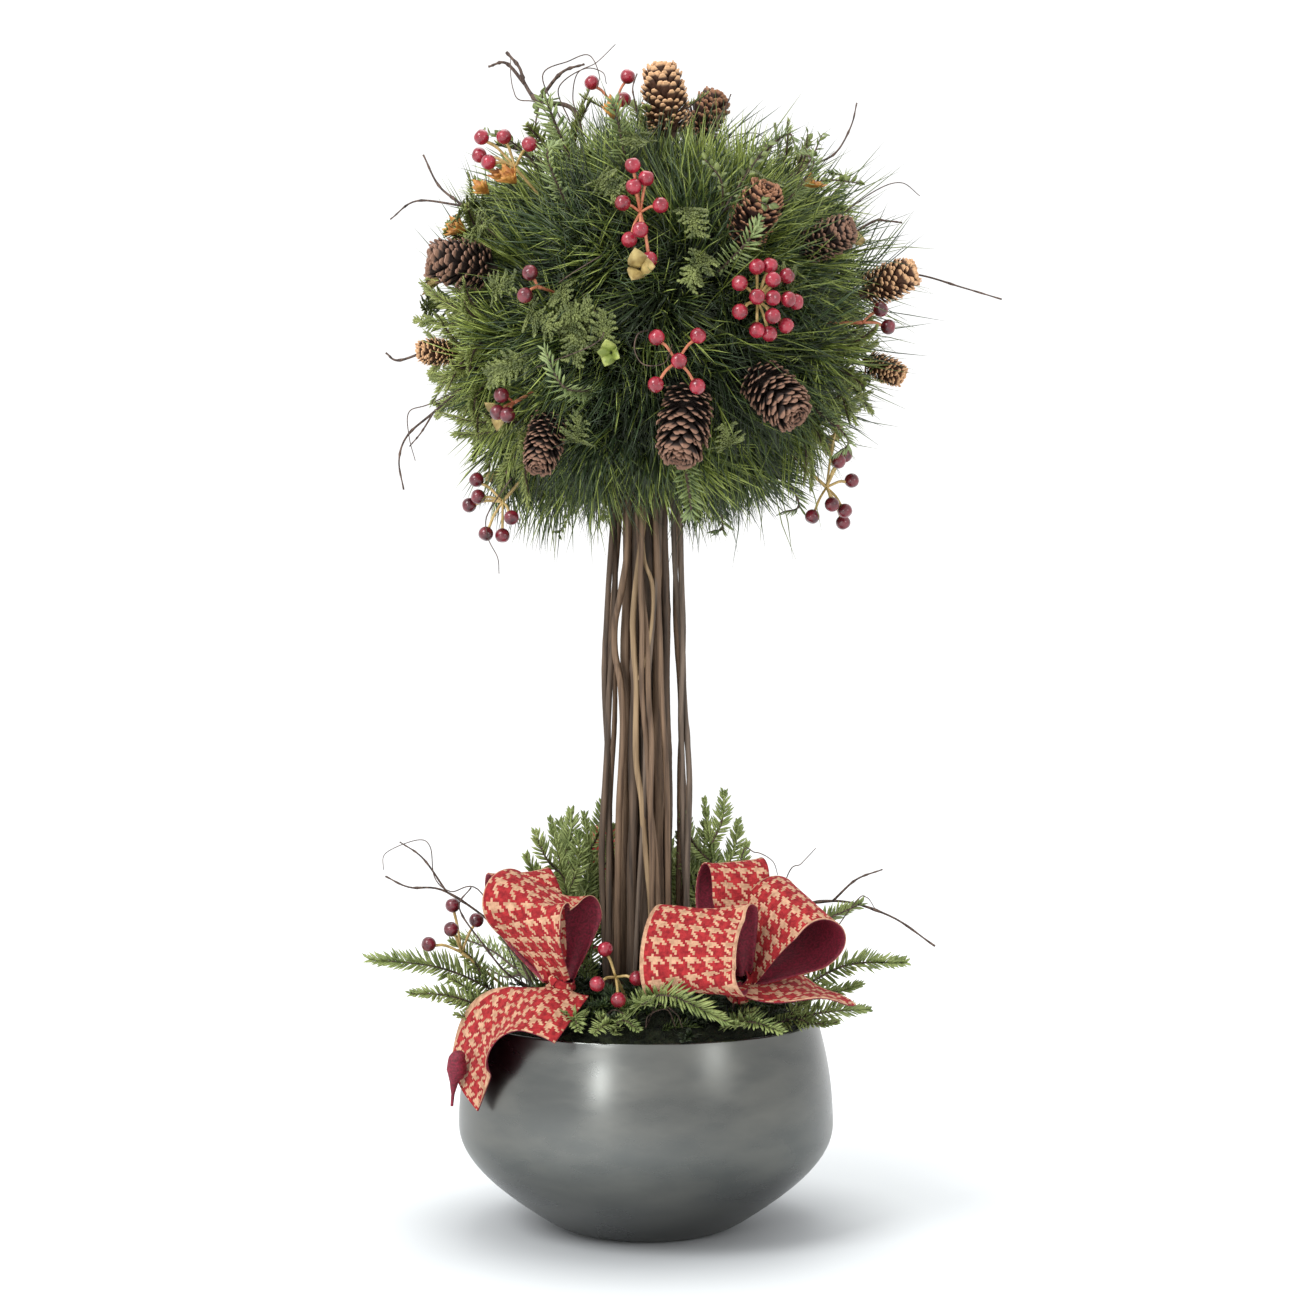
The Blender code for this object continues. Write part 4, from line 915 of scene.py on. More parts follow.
def feather(path, length, spacing, facing, draw, forward=60.0):
    """A rib and its needles. Lengths: 0.55 + 1.8 t up to 1, times 1 - 0.6 t^3. Splay: forward - 32 t^2."""
    run = distances(path)
    count = max(5, int(run[-1] / spacing))
    at = np.repeat(np.arange(count) / count, 3) + draw.uniform(0.1, 0.9, 3 * count) / count
    rank = np.tile([-1.0, 1.0, 0.0], count)
    ahead = unit(sampled(np.gradient(path, axis=0), run, at * run[-1]))
    across = unit(np.cross(ahead, facing))
    up = np.cross(across, ahead)
    lift = np.where(rank == 0, 1.0, SIDE_LIFT) + draw.normal(0, 0.16, len(at))
    sideways = unit(across * (rank + draw.normal(0, 0.12, len(at)))[:, None] + up * lift[:, None])
    splay = np.radians(forward - 32 * at ** 2 + draw.normal(0, 6, len(at)))[:, None]
    axes = unit(ahead * np.cos(splay) + sideways * np.sin(splay))
    lengths = length * np.minimum(1, 0.55 + 1.8 * at) * (1 - 0.6 * at ** 3)
    lengths = lengths * draw.uniform(0.82, 1.12, len(at)) * np.where(rank == 0, UPPER_RANK, 1.0)
    normals = up + draw.normal(0, 0.25, up.shape)
    rib = tube(path, np.linspace(*RIB_ENDS, len(path)), 6)
    return rib, leaves(sampled(path, run, at * run[-1]), axes, normals, lengths, BLADE, BLADE_HALF_WIDTH)


def round_seat(seat, turn):
    """flat cos(turn) + (seat x flat) sin(turn): directions square to a seat, turned round it."""
    flat = unit(np.cross(seat, [0.1, 0.2, 1.0]))
    turn = np.asarray(turn)[..., None]
    return flat * np.cos(turn) + np.cross(seat, flat) * np.sin(turn)


# %% Fir tips on the ball
TIP_NEEDLE, TIP_SPACING, FAN_NEEDLE, FAN_SPACING = 0.0150, 0.0030, 0.0115, 0.0024
# seat azimuth and elevation, way azimuth and elevation, length of the sprig
BALL_FIRS = (
    (-18, -27, -40, 25, 0.070), (-40, 50, -60, 70, 0.060), (40, 44, 60, 20, 0.060), (62, -26, 70, -60, 0.060),
    (14, -48, 10, -75, 0.060), (-10, 45, -30, 60, 0.060), (20, 8, 50, 45, 0.050), (96, 34, 110, 60, 0.060),
    (130, 10, 140, 50, 0.070), (165, 45, 180, 70, 0.060), (-165, 0, -150, 40, 0.070),
    (120, -40, 120, -75, 0.065), (150, -48, 160, -80, 0.060), (180, 15, 170, 50, 0.065),
    (-30, 30, -10, 60, 0.055), (50, 30, 30, 60, 0.055),
)
# seat azimuth and elevation, and how many sprigs fan out there
FIR_FANS = (
    (-66, -4, 9), (-74, -17, 8), (-62, -38, 7), (-84, 24, 6), (-78, 60, 6), (80, -12, 7), (78, -30, 6),
    (86, 44, 6), (-120, 38, 7), (-112, -24, 7), (130, -20, 7), (-150, -38, 6), (148, 30, 7), (0, 78, 6),
)
ribs, firs, fans = [], [], []
for *place, way_azimuth, way_elevation, length in BALL_FIRS:
    seat, way = outward(*place), outward(way_azimuth, way_elevation)
    start, middle = BALL + seat * 0.126, BALL + seat * 0.153 + way * length * 0.35
    tip = BALL + unit(seat * 0.155 + way * length * 0.95) * 0.168
    rib, blades = feather(smooth_path([start, middle, tip], 8), TIP_NEEDLE, TIP_SPACING, seat, draw)
    ribs.append(rib)
    firs.append(blades)
for *place, count in FIR_FANS:
    seat = outward(*place)
    for turn in 2 * pi * (np.arange(count) + draw.uniform(0, 0.7, count)) / count:
        way = unit(seat * draw.uniform(0.5, 1.1) + round_seat(seat, turn))
        start = BALL + seat * 0.118 + way * 0.006
        tip = BALL + unit(start + way * 0.050 - BALL) * draw.uniform(0.156, 0.168)
        path = smooth_path([start, (start + tip) / 2 + seat * 0.005, tip], 6)
        rib, blades = feather(path, FAN_NEEDLE, FAN_SPACING, seat, draw)
        ribs.append(rib)
        fans.append(blades)
fir_light = mottled("fir_light", (0.120, 0.175, 0.058), (0.285, 0.345, 0.140), 90.0, 0.46, specular=0.35)
fir_fan = mottled("fir_fan", (0.105, 0.135, 0.032), (0.290, 0.325, 0.100), 90.0, 0.46, specular=0.35)
shown("ball_fir", joined(firs), fir_light)
shown("ball_fir_fans", joined(fans), fir_fan)

# %% [markdown]
# ## Leafy sprigs, cedar, petals and husks
# Small round-leaved sprigs, flat sprays of cedar, a few dried golden petals and clusters of orange
# husks fill the places between. The leaves and petals are thin closed almond shapes, folded along the
# middle to catch light. Flat cut-outs would be lighter, but a closed leaf also stands up to printing.

# %% Leafy sprigs
# azimuth and elevation of each seat, which carries three sprigs
LEAFY = ((24, 28), (66, 40), (-62, 50), (-130, -10), (160, -12), (-165, 30), (125, 45), (-150, -48))
LEAVES_PER_SPRIG, LEAF_TURN, LEAF_LENGTHS = 14, 2.4, (0.0050, 0.0078)


def leaf_template(width, fold):
    """A thin almond: edges at +-w sin(pi z^0.9), raised by fold times that; skins 0.02 above and below."""
    z = np.linspace(0, 1, 6)[1:-1]
    half, skin = width * np.sin(pi * z ** 0.9), np.full(len(z), 0.02)
    corners = ([-half, fold * half, z], [0 * z, skin, z], [half, fold * half, z], [0 * z, -skin, z])
    return template(capped(np.array(corners).transpose(2, 0, 1), (0, 0, 0), (0, fold * 0.1, 1)))


def leafy_sprig(seat, turn, draw):
    """A stem, and leaves along it at even steps, each turned by 2.4 radians from the last."""
    way = unit(seat * 0.55 + round_seat(seat, turn))
    path = smooth_path([BALL + seat * 0.130, BALL + seat * 0.150 + way * 0.014,
                        BALL + seat * 0.156 + way * 0.034], 6)
    step = np.linspace(0.2, 1, LEAVES_PER_SPRIG) * (len(path) - 1)
    i = np.minimum(step.astype(int), len(path) - 2)
    at = path[i] + (path[i + 1] - path[i]) * (step - i)[:, None]
    ahead = unit(path[i + 1] - path[i])
    spin = (np.arange(LEAVES_PER_SPRIG) * LEAF_TURN)[:, None]
    side = unit(np.cross(ahead, seat))
    axes = unit(ahead * 0.8 + side * np.cos(spin) + np.cross(side, ahead) * (0.3 + np.sin(spin)))
    lengths = draw.uniform(*LEAF_LENGTHS, LEAVES_PER_SPRIG)
    return (tube(path, np.linspace(0.0009, 0.0004, len(path)), 5),
            leaves(at, axes, unit(seat + 0.3 * ahead), lengths, ROUND_LEAF))


ROUND_LEAF, PETAL, HUSK = leaf_template(0.34, 0.30), leaf_template(0.42, 0.40), leaf_template(0.20, 0.60)
leafy = [leafy_sprig(outward(*place), turn, draw) for place in LEAFY for turn in (0.0, 2.1, 4.2)]
ribs += [stem for stem, _ in leafy]
leaf_green = mottled("leaf_green", (0.080, 0.112, 0.028), (0.220, 0.265, 0.080), 140.0, 0.42, specular=0.4)
shown("leafy_sprigs", joined([leaf for _, leaf in leafy]), leaf_green)

# %% Cedar sprays
# flat sprays of scale leaves: seat azimuth and elevation, the way they point as a turn in degrees, length
CEDARS = (
    (-36, -1, 150, 0.040), (-27, -11, 210, 0.042), (-17, -3, 80, 0.036), (-13, -17, 260, 0.034),
    (-25, 5, 120, 0.034), (-33, -14, 20, 0.036), (-27, -41, 240, 0.036), (9, 26, 100, 0.034),
    (15, 13, 60, 0.036), (-20, 34, 140, 0.038), (42, 36, 40, 0.036), (-62, 22, 170, 0.042),
    (-74, 34, 130, 0.040), (42, 4, 350, 0.032), (28, -42, 300, 0.034), (-48, 2, 190, 0.036),
    (-6, 52, 90, 0.036), (-100, 8, 160, 0.042), (-125, 15, 60, 0.042), (-145, -12, 220, 0.040),
    (-170, 10, 120, 0.042), (160, 12, 30, 0.042), (135, -22, 300, 0.040), (118, 12, 40, 0.042),
    (100, -18, 330, 0.038), (170, -52, 270, 0.036), (-130, -50, 200, 0.036), (-175, 55, 90, 0.038),
)
CEDAR_LEAF, CEDAR_SIDE_LEAF, CEDAR_SPACING, CEDAR_SPLAY = 0.0047, 0.0045, 0.0018, 34


def cedar(azimuth, elevation, turn, length, draw):
    """A midrib in scale leaves, with side ribs to left and right in turn, 0.5 to 0.2 of its length."""
    seat = outward(azimuth, elevation)
    right = unit(np.cross([0.0, 0.0, 1.0], -seat))
    way = right * cos(radians(turn)) + np.cross(right, seat) * -sin(radians(turn))
    across = np.cross(way, seat)
    start = BALL + seat * 0.136
    middle = start + seat * 0.016 + way * length * 0.45
    path = smooth_path([start, middle, start + seat * 0.017 + way * length], 8)
    made = [feather(path, CEDAR_LEAF, CEDAR_SPACING, seat, draw, CEDAR_SPLAY)[1]]
    for number, at in enumerate(range(2, len(path) - 2)):
        ahead = unit(path[at + 1] - path[at])
        sideways = across * (0.8 if number % 2 else -0.8)
        reach = length * (0.50 - 0.30 * at / len(path))
        end = path[at] + unit(ahead * 0.8 + sideways + seat * draw.uniform(-0.3, 0.4)) * reach
        side_path = smooth_path([path[at], (path[at] + end) / 2 + ahead * 0.002, end], 3)
        made.append(feather(side_path, CEDAR_SIDE_LEAF, CEDAR_SPACING, seat, draw, CEDAR_SPLAY)[1])
    return made


cedar_parts = [part for place in CEDARS for part in cedar(*place, draw)]
cedar_green = mottled("cedar_green", (0.052, 0.070, 0.018), (0.190, 0.222, 0.068), 120.0, 0.44, specular=0.4)
half = len(cedar_parts) // 2
shown("cedar_sprays_1", joined(cedar_parts[:half]), cedar_green)
shown("cedar_sprays_2", joined(cedar_parts[half:]), cedar_green)

# %% Petals, husks and lime leaves
PETAL_SEATS = ((-3, 6), (68, 20), (-47, -27), (-80, 10), (150, 0), (-150, 18), (110, -30), (-110, -42))
HUSK_SEATS = ((-53, 36), (-62, 33), (-47, 34), (-20, 60), (-66, 22), (56, 34), (140, 20), (-125, 5),
              (-150, 52), (165, -38))
LIME_SEATS = ((-10, -14), (140, 5))
# piece: seats; leaves at each, distance, leaf lengths, rise, leaf; finish, dark, light, grain, roughness
ROSETTES = {
    "petals": (PETAL_SEATS, (3, 0.150, (0.013, 0.019), 0.9, PETAL),
               ("petal_gold", (0.230, 0.155, 0.046), (0.480, 0.370, 0.140), 150.0, 0.55)),
    "husks": (HUSK_SEATS, (9, 0.148, (0.010, 0.019), 1.4, HUSK),
              ("husk_orange", (0.330, 0.110, 0.020), (0.660, 0.330, 0.070), 190.0, 0.5)),
    "lime_leaves": (LIME_SEATS, (5, 0.153, (0.008, 0.013), 0.8, PETAL),
                    ("leaf_lime", (0.170, 0.220, 0.040), (0.400, 0.450, 0.120), 150.0, 0.45)),
}


def rosette(azimuth, elevation, count, distance, lengths, rise, leaf, draw):
    """Leaves round a seat on the ball, turned evenly, each rising from the surface by the given share."""
    seat = outward(azimuth, elevation)
    turn = (np.arange(count) + draw.uniform(-0.2, 0.2, count)) * 2 * pi / count + azimuth
    return leaves(np.tile(BALL + seat * distance, (count, 1)), unit(round_seat(seat, turn) + seat * rise),
                  np.tile(seat, (count, 1)), draw.uniform(*lengths, count), leaf)


rosettes = {name: joined([rosette(*place, *growth, draw) for place in seats])
            for name, (seats, growth, _) in ROSETTES.items()}
for name in ("petals", "lime_leaves", "husks"):
    shown(name, rosettes[name], mottled(*ROSETTES[name][2]))

# %% [markdown]
# ## Cones
# A pine cone's scales stand on a spiral: each is turned by the golden angle from the one before. They
# open wide at the stalk and close up at the tip. Modelling the scales one by one gives the deep
# shadows between them that a bumpy egg can't. Each scale pales towards its thick outer edge, as real
# cones do; on the golden cones the pale edge is also a painted highlight.

# %% Cone scales
SCALES_PER_CONE = 230
# z, half width and half thickness of each ring
SCALE_RINGS = ((0.0, 0.05, 0.020), (0.55, 0.11, 0.024), (0.90, 0.155, 0.032), (1.04, 0.070, 0.022))
SCALE_X, SCALE_Y = np.array([(-1, 0), (-0.55, 1), (0.55, 1), (1, 0), (0.55, -1), (-0.55, -1)], float).T
SCALE_CURL, SCALE_SPREAD = 0.16, 0.62
CORE_LEVELS, CORE_RADII = np.linspace(-0.04, 0.86, 6), np.array([0.10, 0.20, 0.21, 0.18, 0.12, 0.05])
PALE_FROM, PALE_TO = 0.92, 0.99
# tint: body and edge colours
CONE_TONES = {
    "golden": ((0.078, 0.030, 0.013), (0.640, 0.380, 0.200)),
    "red": ((0.045, 0.016, 0.010), (0.320, 0.150, 0.078)),
    "dark": ((0.020, 0.009, 0.006), (0.235, 0.126, 0.082)),
}


def scale_template():
    """Six-sided rings along z that curl up by 0.16 z^2; the first and the last are closed by fans."""
    rings = [np.stack([SCALE_X * wide, SCALE_Y * thick + SCALE_CURL * z * z, np.full(6, z)], axis=-1)
             for z, wide, thick in SCALE_RINGS]
    k, top = np.arange(1, 5), 6 * len(rings) - 6
    fans = [np.stack([0 * k, k + 1, k], axis=-1), np.stack([0 * k, k, k + 1], axis=-1) + top]
    return template(shape(rings, ring_faces(len(rings), 6), np.vstack(fans)))


def cone_scales(place, length, width, draw):
    """Scale k at height t = k/N, turned k golden angles, opened by 84 - 60 t degrees from the axis."""
    base, axis = cone_axis(*place, length)
    t = (np.arange(SCALES_PER_CONE) + 0.5) / SCALES_PER_CONE
    turn = (np.arange(SCALES_PER_CONE) * GOLDEN_ANGLE + draw.uniform(0, 2 * pi))[:, None]
    side = unit(np.cross(axis, [0.3, 0.5, 0.81]))
    radial = side * np.cos(turn) + np.cross(axis, side) * np.sin(turn)
    opened = np.radians(84 - 60 * t + draw.normal(0, 4, SCALES_PER_CONE))
    ahead = axis * np.cos(opened)[:, None] + radial * np.sin(opened)[:, None]
    outline = width / 2 * (0.62 + 0.42 * np.sin(pi * (0.12 + 0.62 * t)) - 0.62 * t ** 3)
    size = outline / np.maximum(np.sin(opened), SCALE_SPREAD) * 1.04
    size = size * draw.uniform(0.93, 1.06, SCALES_PER_CONE)
    up = np.cross(ahead, np.cross(radial, axis))
    up *= np.sign(up @ axis)[:, None]
    origins = base + axis * (length * (0.02 + 0.72 * t))[:, None]
    made = copies(*SCALE, origins, np.cross(up, ahead), up, ahead, np.stack([size, size, size], axis=-1))
    made[3][:, 1] = np.tile(SCALE[0][:, 2], SCALES_PER_CONE)
    core = tube(base + axis * (length * CORE_LEVELS)[:, None], CORE_RADII * width, 8)
    return joined([made, core])


def scale_finish(tint, body, edge):
    """A dark body that pales near the end of each scale's length, read from its own UV; on the golden cones
    the pale end is also a painted highlight.
    """
    dark = tuple(c * 0.55 for c in body)
    made = mottled(f"cone_{tint}", dark, body, 300.0, 0.68, bump=0.35, depth=0.0006)
    tree, shader, colour = base_of(made)
    # the pale ends are real pale scale tips, and on the golden cones also a painted highlight
    share = map_range(tree, uv_parts(tree)["Y"], PALE_FROM, PALE_TO)
    feed(tree, shader, {"Base Color": mixed_colour(tree, share, colour, (*edge, 1.0))})
    return made


SCALE = scale_template()
for tint, (body, edge) in CONE_TONES.items():
    rows = {f"cone_{number:02d}": row for number, row in enumerate(CONES, 1) if row[-1] == tint}
    made = joined([cone_scales(place, length, width, draw) for *place, length, width, _ in rows.values()])
    shown(f"cones_{tint}", made, scale_finish(tint, body, edge), smooth=False, stands_for=rows)

# %% [markdown]
# ## Berries
# The berries are lacquered, so they need a sharp highlight over a colour that deepens in patches. Each
# is a ball with a small dimple at its end, on a curved stalk from the spray's hub.

# %% Berries and stalks
BERRY_ROWS, BERRY_TURNS = 9, 14
DIMPLE, DIMPLE_ANGLE = 0.14, 0.4
SEAT_DISTANCE = 0.124
# in millimetres: foot, hub, berries; skin, stalk tint
BASE_SPRAYS = (
    ((-84, 20, 150), (-128, -14, 191), [(-150, -24, 198), (-134, -16, 224), (-134, -30, 209),
                                        (-118, -10, 213)], "dark", "yellow"),
    ((-10, -50, 158), (-20, -82, 183), [(-32, -100, 181), (-27, -84, 202), (-6, -88, 183),
                                        (-18, -104, 171)], "bright", "yellow"),
)


def berry(centre, way):
    """Radius R(1 - 0.14 exp(-(angle/0.4)^2)): a ball with a dimple where it points away from its stalk."""
    angle = np.linspace(0, pi, BERRY_ROWS + 2)
    radius = BERRY_RADIUS * (1 - DIMPLE * np.exp(-(((pi - angle) / DIMPLE_ANGLE) ** 2)))
    points, *faces = turned(np.stack([radius * np.sin(angle), -radius * np.cos(angle)], axis=-1), BERRY_TURNS)
    side = unit(np.cross(way, [0.31, 0.52, 0.79]))
    return ((points @ np.stack([side, np.cross(way, side), way]) + centre).astype(np.float32), *faces)


def spray(foot, hub, ends):
    """Berries at the ends, stalks that rise 8 percent of their length, and the stem from foot to hub."""
    stem = smooth_path([foot, (foot + hub) / 2, hub], 3)
    berries, stalks = [], [tube(stem, np.linspace(0.0008, 0.0013, len(stem)), 6)]
    for end in ends:
        way = unit(end - hub)
        rise = np.array([0, 0, 0.08 * np.linalg.norm(end - hub)])
        path = smooth_path([hub, (hub + end) / 2 + rise, end - way * BERRY_RADIUS * 0.8], 4)
        stalks.append(tube(path, np.linspace(0.0009, 0.0011, len(path)), 6))
        berries.append(berry(end, way))
    return berries, stalks


sprays = [(seat_at(*hub[:2], SEAT_DISTANCE), seat_at(*hub), berry_places(hub, berries), *tints)
          for hub, berries, *tints in SPRAYS]
sprays += [(metres(foot), metres(hub), metres(ends), *tints) for foot, hub, ends, *tints in BASE_SPRAYS]
by_tint = {"bright": [], "dark": [], "yellow": [], "orange": []}
for foot, hub, ends, skin, stalk in sprays:
    berries, stalks = spray(foot, hub, ends)
    by_tint[skin] += berries
    by_tint[stalk] += stalks
berry_bright = mottled("berry_bright", (0.120, 0.005, 0.012), (0.360, 0.018, 0.040), 130.0, 0.26, coat=0.35,
                       low=0.30, high=0.66)
# painted shade: a darker copy of the bright berries, for the sprays that sit in shade
berry_painted_shade = mottled("berry_painted_shade", (0.045, 0.004, 0.008), (0.180, 0.014, 0.026), 130.0, 0.28, coat=0.35)
stalk_yellow = mottled("stalk_yellow", (0.330, 0.230, 0.070), (0.600, 0.430, 0.180), 200.0, 0.5)
stalk_orange = mottled("stalk_orange", (0.400, 0.110, 0.050), (0.620, 0.240, 0.130), 200.0, 0.5)
shown("berries_bright", joined(by_tint["bright"]), berry_bright,
      stands_for=nodes_of("berries_"))
shown("berries_painted_shade", joined(by_tint["dark"]), berry_painted_shade)
shown("stalks_yellow", joined(by_tint["yellow"]), stalk_yellow)
shown("stalks_orange", joined(by_tint["orange"]), stalk_orange)

# %% [markdown]
# ## Twigs
# Bare twigs reach out of the ball and the bowl, thin and dark, with buds. They follow the solids'
# paths, but taper more finely and swell at each bud. Thin curled wires stand among them. They could be
# branched by a growth rule, but a few placed points give each the bend that it has on the solid.

# %% Places of the twigs and wires
# seat on the ball; run and forks as offsets from the ball's centre in millimetres; thickness
BALL_TWIGS = (
    ((-58, 64), [(-54, -30, 144), (-78, -22, 152), (-88, -16, 165), (-92, -14, 177), (-101, -12, 188)],
     [(2, [(-62, -36, 168), (-46, -40, 173)]), (3, [(-101, -18, 179), (-113, -20, 176)])], 0.0019),
    ((-70, 26), [(-130, -30, 78), (-147, -24, 93), (-158, -20, 115)],
     [(1, [(-162, -26, 82), (-180, -28, 69)])], 0.0012),
    ((-82, -3), [(-146, -18, -16), (-174, -20, -27), (-184, -20, -22)], [], 0.0013),
    ((-72, -16), [(-150, -30, -64), (-168, -30, -80), (-174, -28, -97), (-171, -26, -117)],
     [(1, [(-158, -34, -78), (-166, -36, -88)])], 0.0010),
    ((98, 15), [(150, 24, 42), (188, 18, 38), (218, 10, 28), (245, 0, 18)], [], 0.0010),
    ((60, 45), [(112, -44, 104), (126, -46, 112), (136, -44, 130), (140, -42, 146)], [], 0.0009),
    ((-20, 70), [(-8, -40, 130), (-11, -42, 145), (-13, -42, 156), (-10, -42, 166)], [], 0.0008),
    ((40, 62), [(42, -44, 130), (50, -44, 142), (54, -42, 152)], [], 0.0008),
    ((78, 20), [(150, -30, 66), (162, -32, 67), (172, -32, 66)], [], 0.0011),
)
# foot, run and forks in millimetres; thickness
BASE_TWIGS = (
    ((-70, 26, 152), [(-100, 18, 199), (-140, 6, 231), (-166, 0, 235), (-182, -4, 243)],
     [(2, [(-156, 0, 255), (-172, -4, 267)])], 0.0011),
    ((64, 54, 154), [(96, 56, 207), (134, 42, 221), (172, 20, 213), (203, 6, 193)],
     [(2, [(150, 34, 237), (168, 26, 245)])], 0.0013),
    ((-60, 0, 156), [(-92, -30, 176), (-112, -36, 200), (-128, -34, 224), (-120, -32, 238)], [], 0.0009),
)
# points of each wire in millimetres, as offsets from the ball's centre, or from the bowl's foot
BALL_WIRES = (
    [(-66, -40, 130), (-78, -36, 147), (-91, -34, 150), (-95, -32, 157), (-97, -30, 168), (-97, -30, 181)],
    [(-60, -36, 132), (-75, -34, 166), (-57, -32, 177), (-43, -32, 181), (-36, -34, 167), (-38, -38, 157)],
    [(-50, -38, 138), (-54, -36, 150), (-51, -34, 168), (-38, -32, 176), (-25, -30, 189)],
    [(-56, -38, 134), (-64, -36, 157), (-47, -34, 171), (-34, -34, 169), (-31, -38, 160)],
    [(-46, -120, 6), (-31, -152, -27), (-64, -139, -42), (-75, -131, -45)],
    [(-2, -140, -22), (-9, -157, -27), (-11, -157, -37), (-5, -156, -46), (8, -156, -45), (13, -156, -33)],
    [(-60, -130, 10), (-48, -149, 15), (-32, -152, 24)],
    [(-128, -40, -48), (-153, -34, -59), (-167, -30, -64), (-167, -28, -81), (-163, -26, -97)],
    [(-96, -40, -110), (-109, -34, -128), (-114, -32, -139), (-112, -30, -152), (-106, -30, -164),
     (-105, -30, -175)],
    [(118, -50, 60), (150, -46, 84), (170, -40, 92), (184, -34, 84)],
    [(30, 120, 110), (50, 118, 150), (78, 112, 158), (92, 108, 140)],
    [(-70, 110, 90), (-104, 112, 116), (-118, 108, 98), (-112, 110, 84)],
    [(60, 140, -60), (86, 148, -84), (84, 142, -110), (66, 138, -118)],
)
BASE_WIRES = (
    [(-84, 10, 160), (-115, 4, 230), (-137, 0, 232), (-148, 0, 242), (-151, 0, 263), (-160, 0, 268),
     (-182, 0, 259), (-184, 0, 247)],
    [(80, 30, 160), (99, 20, 238), (110, 18, 250), (120, 16, 261)],
    [(60, 0, 160), (66, -10, 254), (76, -8, 260), (88, -6, 254), (92, -6, 244)],
    [(120, 30, 180), (148, 20, 222), (156, 18, 226), (162, 18, 218)],
    [(-30, -80, 150), (-22, -96, 163), (-12, -104, 160), (-6, -106, 153)],
    [(0, -84, 150), (8, -98, 167), (20, -105, 162), (24, -106, 153)],
    [(20, -90, 150), (14, -100, 164), (2, -105, 161), (0, -107, 153)],
)
WIRE_RADII = (0.000525, 0.000273)
print("twigs:", len(BALL_TWIGS + BASE_TWIGS), "and wires:", len(BALL_WIRES + BASE_WIRES))

# %% Twigs with buds
BUD_PLACES, BUD_SIZE, BUD_WIDTH = (0.45, 0.68, 0.86, 0.985), 0.7, 0.02
FORK_THICKNESS = 0.75


def twig(points, thickness):
    """r = thickness (1 - 0.55 t), with buds: bells of 70 percent at three places and at the tip."""
    path = smooth_path(points, 8)
    t = np.linspace(0, 1, len(path))
    buds = sum(BUD_SIZE * np.exp(-(((t - at) / BUD_WIDTH) ** 2)) for at in BUD_PLACES)
    return tube(path, thickness * (1 - 0.55 * t) * (1 + buds), 7)


def forked(foot, centre, run, forks, thickness):
    """A twig, and its forks, which start at the numbered points of its run."""
    run = metres(run, centre)
    ends = [twig([run[at - 1], *metres(points, centre)], thickness * FORK_THICKNESS) for at, points in forks]
    return [twig([foot, *run], thickness), *ends]


twigs = []
for seat, *growth in BALL_TWIGS:
    twigs += forked(seat_at(*seat, SEAT_DISTANCE), BALL, *growth)
for foot, *growth in BASE_TWIGS:
    twigs += forked(metres(foot), (0, 0, 0), *growth)
for path in [metres(wire, BALL) for wire in BALL_WIRES] + [metres(wire) for wire in BASE_WIRES]:
    path = smooth_path(path, 9)
    twigs.append(tube(path, np.linspace(*WIRE_RADII, len(path)), 5))
twig_bark = mottled("twig_bark", (0.022, 0.013, 0.010), (0.120, 0.075, 0.055), (500.0, 500.0, 90.0), 0.75,
                    bump=0.4, depth=0.0004)
shown("twigs", joined(twigs + ribs), twig_bark, stands_for=nodes_of("twig_"))

# %% [markdown]
# ## Greens in the bowl
# Fir sprigs lie over the rim and stand round the foot of the trunk. A flat card cut to a feather would
# do from far off; here each is a rib with flat needles, and side twigs that carry needles too.

# %% Fir sprigs in the bowl
# foot, middle and tip in millimetres, and width in metres
BASE_FIRS = (
    ((-84, 4, 150), (-138, -14, 179), (-191, -20, 187), 0.028),
    ((-94, -18, 146), (-132, -34, 163), (-160, -46, 167), 0.020),
    ((-40, 12, 162), (-54, 8, 224), (-67, 2, 282), 0.032),
    ((-40, 12, 162), (-38, 34, 229), (-44, 36, 283), 0.032),
    ((44, 14, 162), (48, 12, 231), (41, 4, 296), 0.028),
    ((44, 14, 162), (40, 34, 219), (30, 40, 269), 0.030),
    ((88, 6, 149), (136, 0, 179), (181, -4, 183), 0.026),
    ((78, 36, 150), (116, 36, 199), (153, 26, 221), 0.026),
    ((84, -48, 146), (120, -52, 155), (152, -36, 155), 0.022),
    ((-14, -78, 157), (12, -124, 177), (52, -137, 162), 0.026),
    ((52, -78, 149), (68, -106, 157), (88, -122, 153), 0.022),
    ((-20, -84, 151), (-27, -106, 155), (-34, -125, 152), 0.018),
    ((-70, 46, 150), (-110, 78, 179), (-142, 102, 189), 0.028),
    ((-50, 78, 150), (-68, 112, 179), (-78, 148, 185), 0.028),
    ((-50, -82, 150), (-47, -102, 160), (-44, -118, 153), 0.019),
    ((-22, -90, 150), (-14, -108, 158), (-4, -119, 153), 0.015),
    ((60, 68, 150), (92, 104, 181), (112, 138, 191), 0.028),
    ((22, 50, 160), (24, 58, 217), (16, 64, 267), 0.032),
)
SIDE_TWIGS = (3, 5, 7, 8, 10, 11, 13, 15)
STANDING_RISE, BACK_FROM = 80.0, 35.0
# needle length as a share of the width, spacing and splay
STANDING_NEEDLES, LYING_NEEDLES, SIDE_NEEDLES = (0.44, 0.0023, 54), (0.62, 0.0018, 66), (0.42, 0.0021, 56)


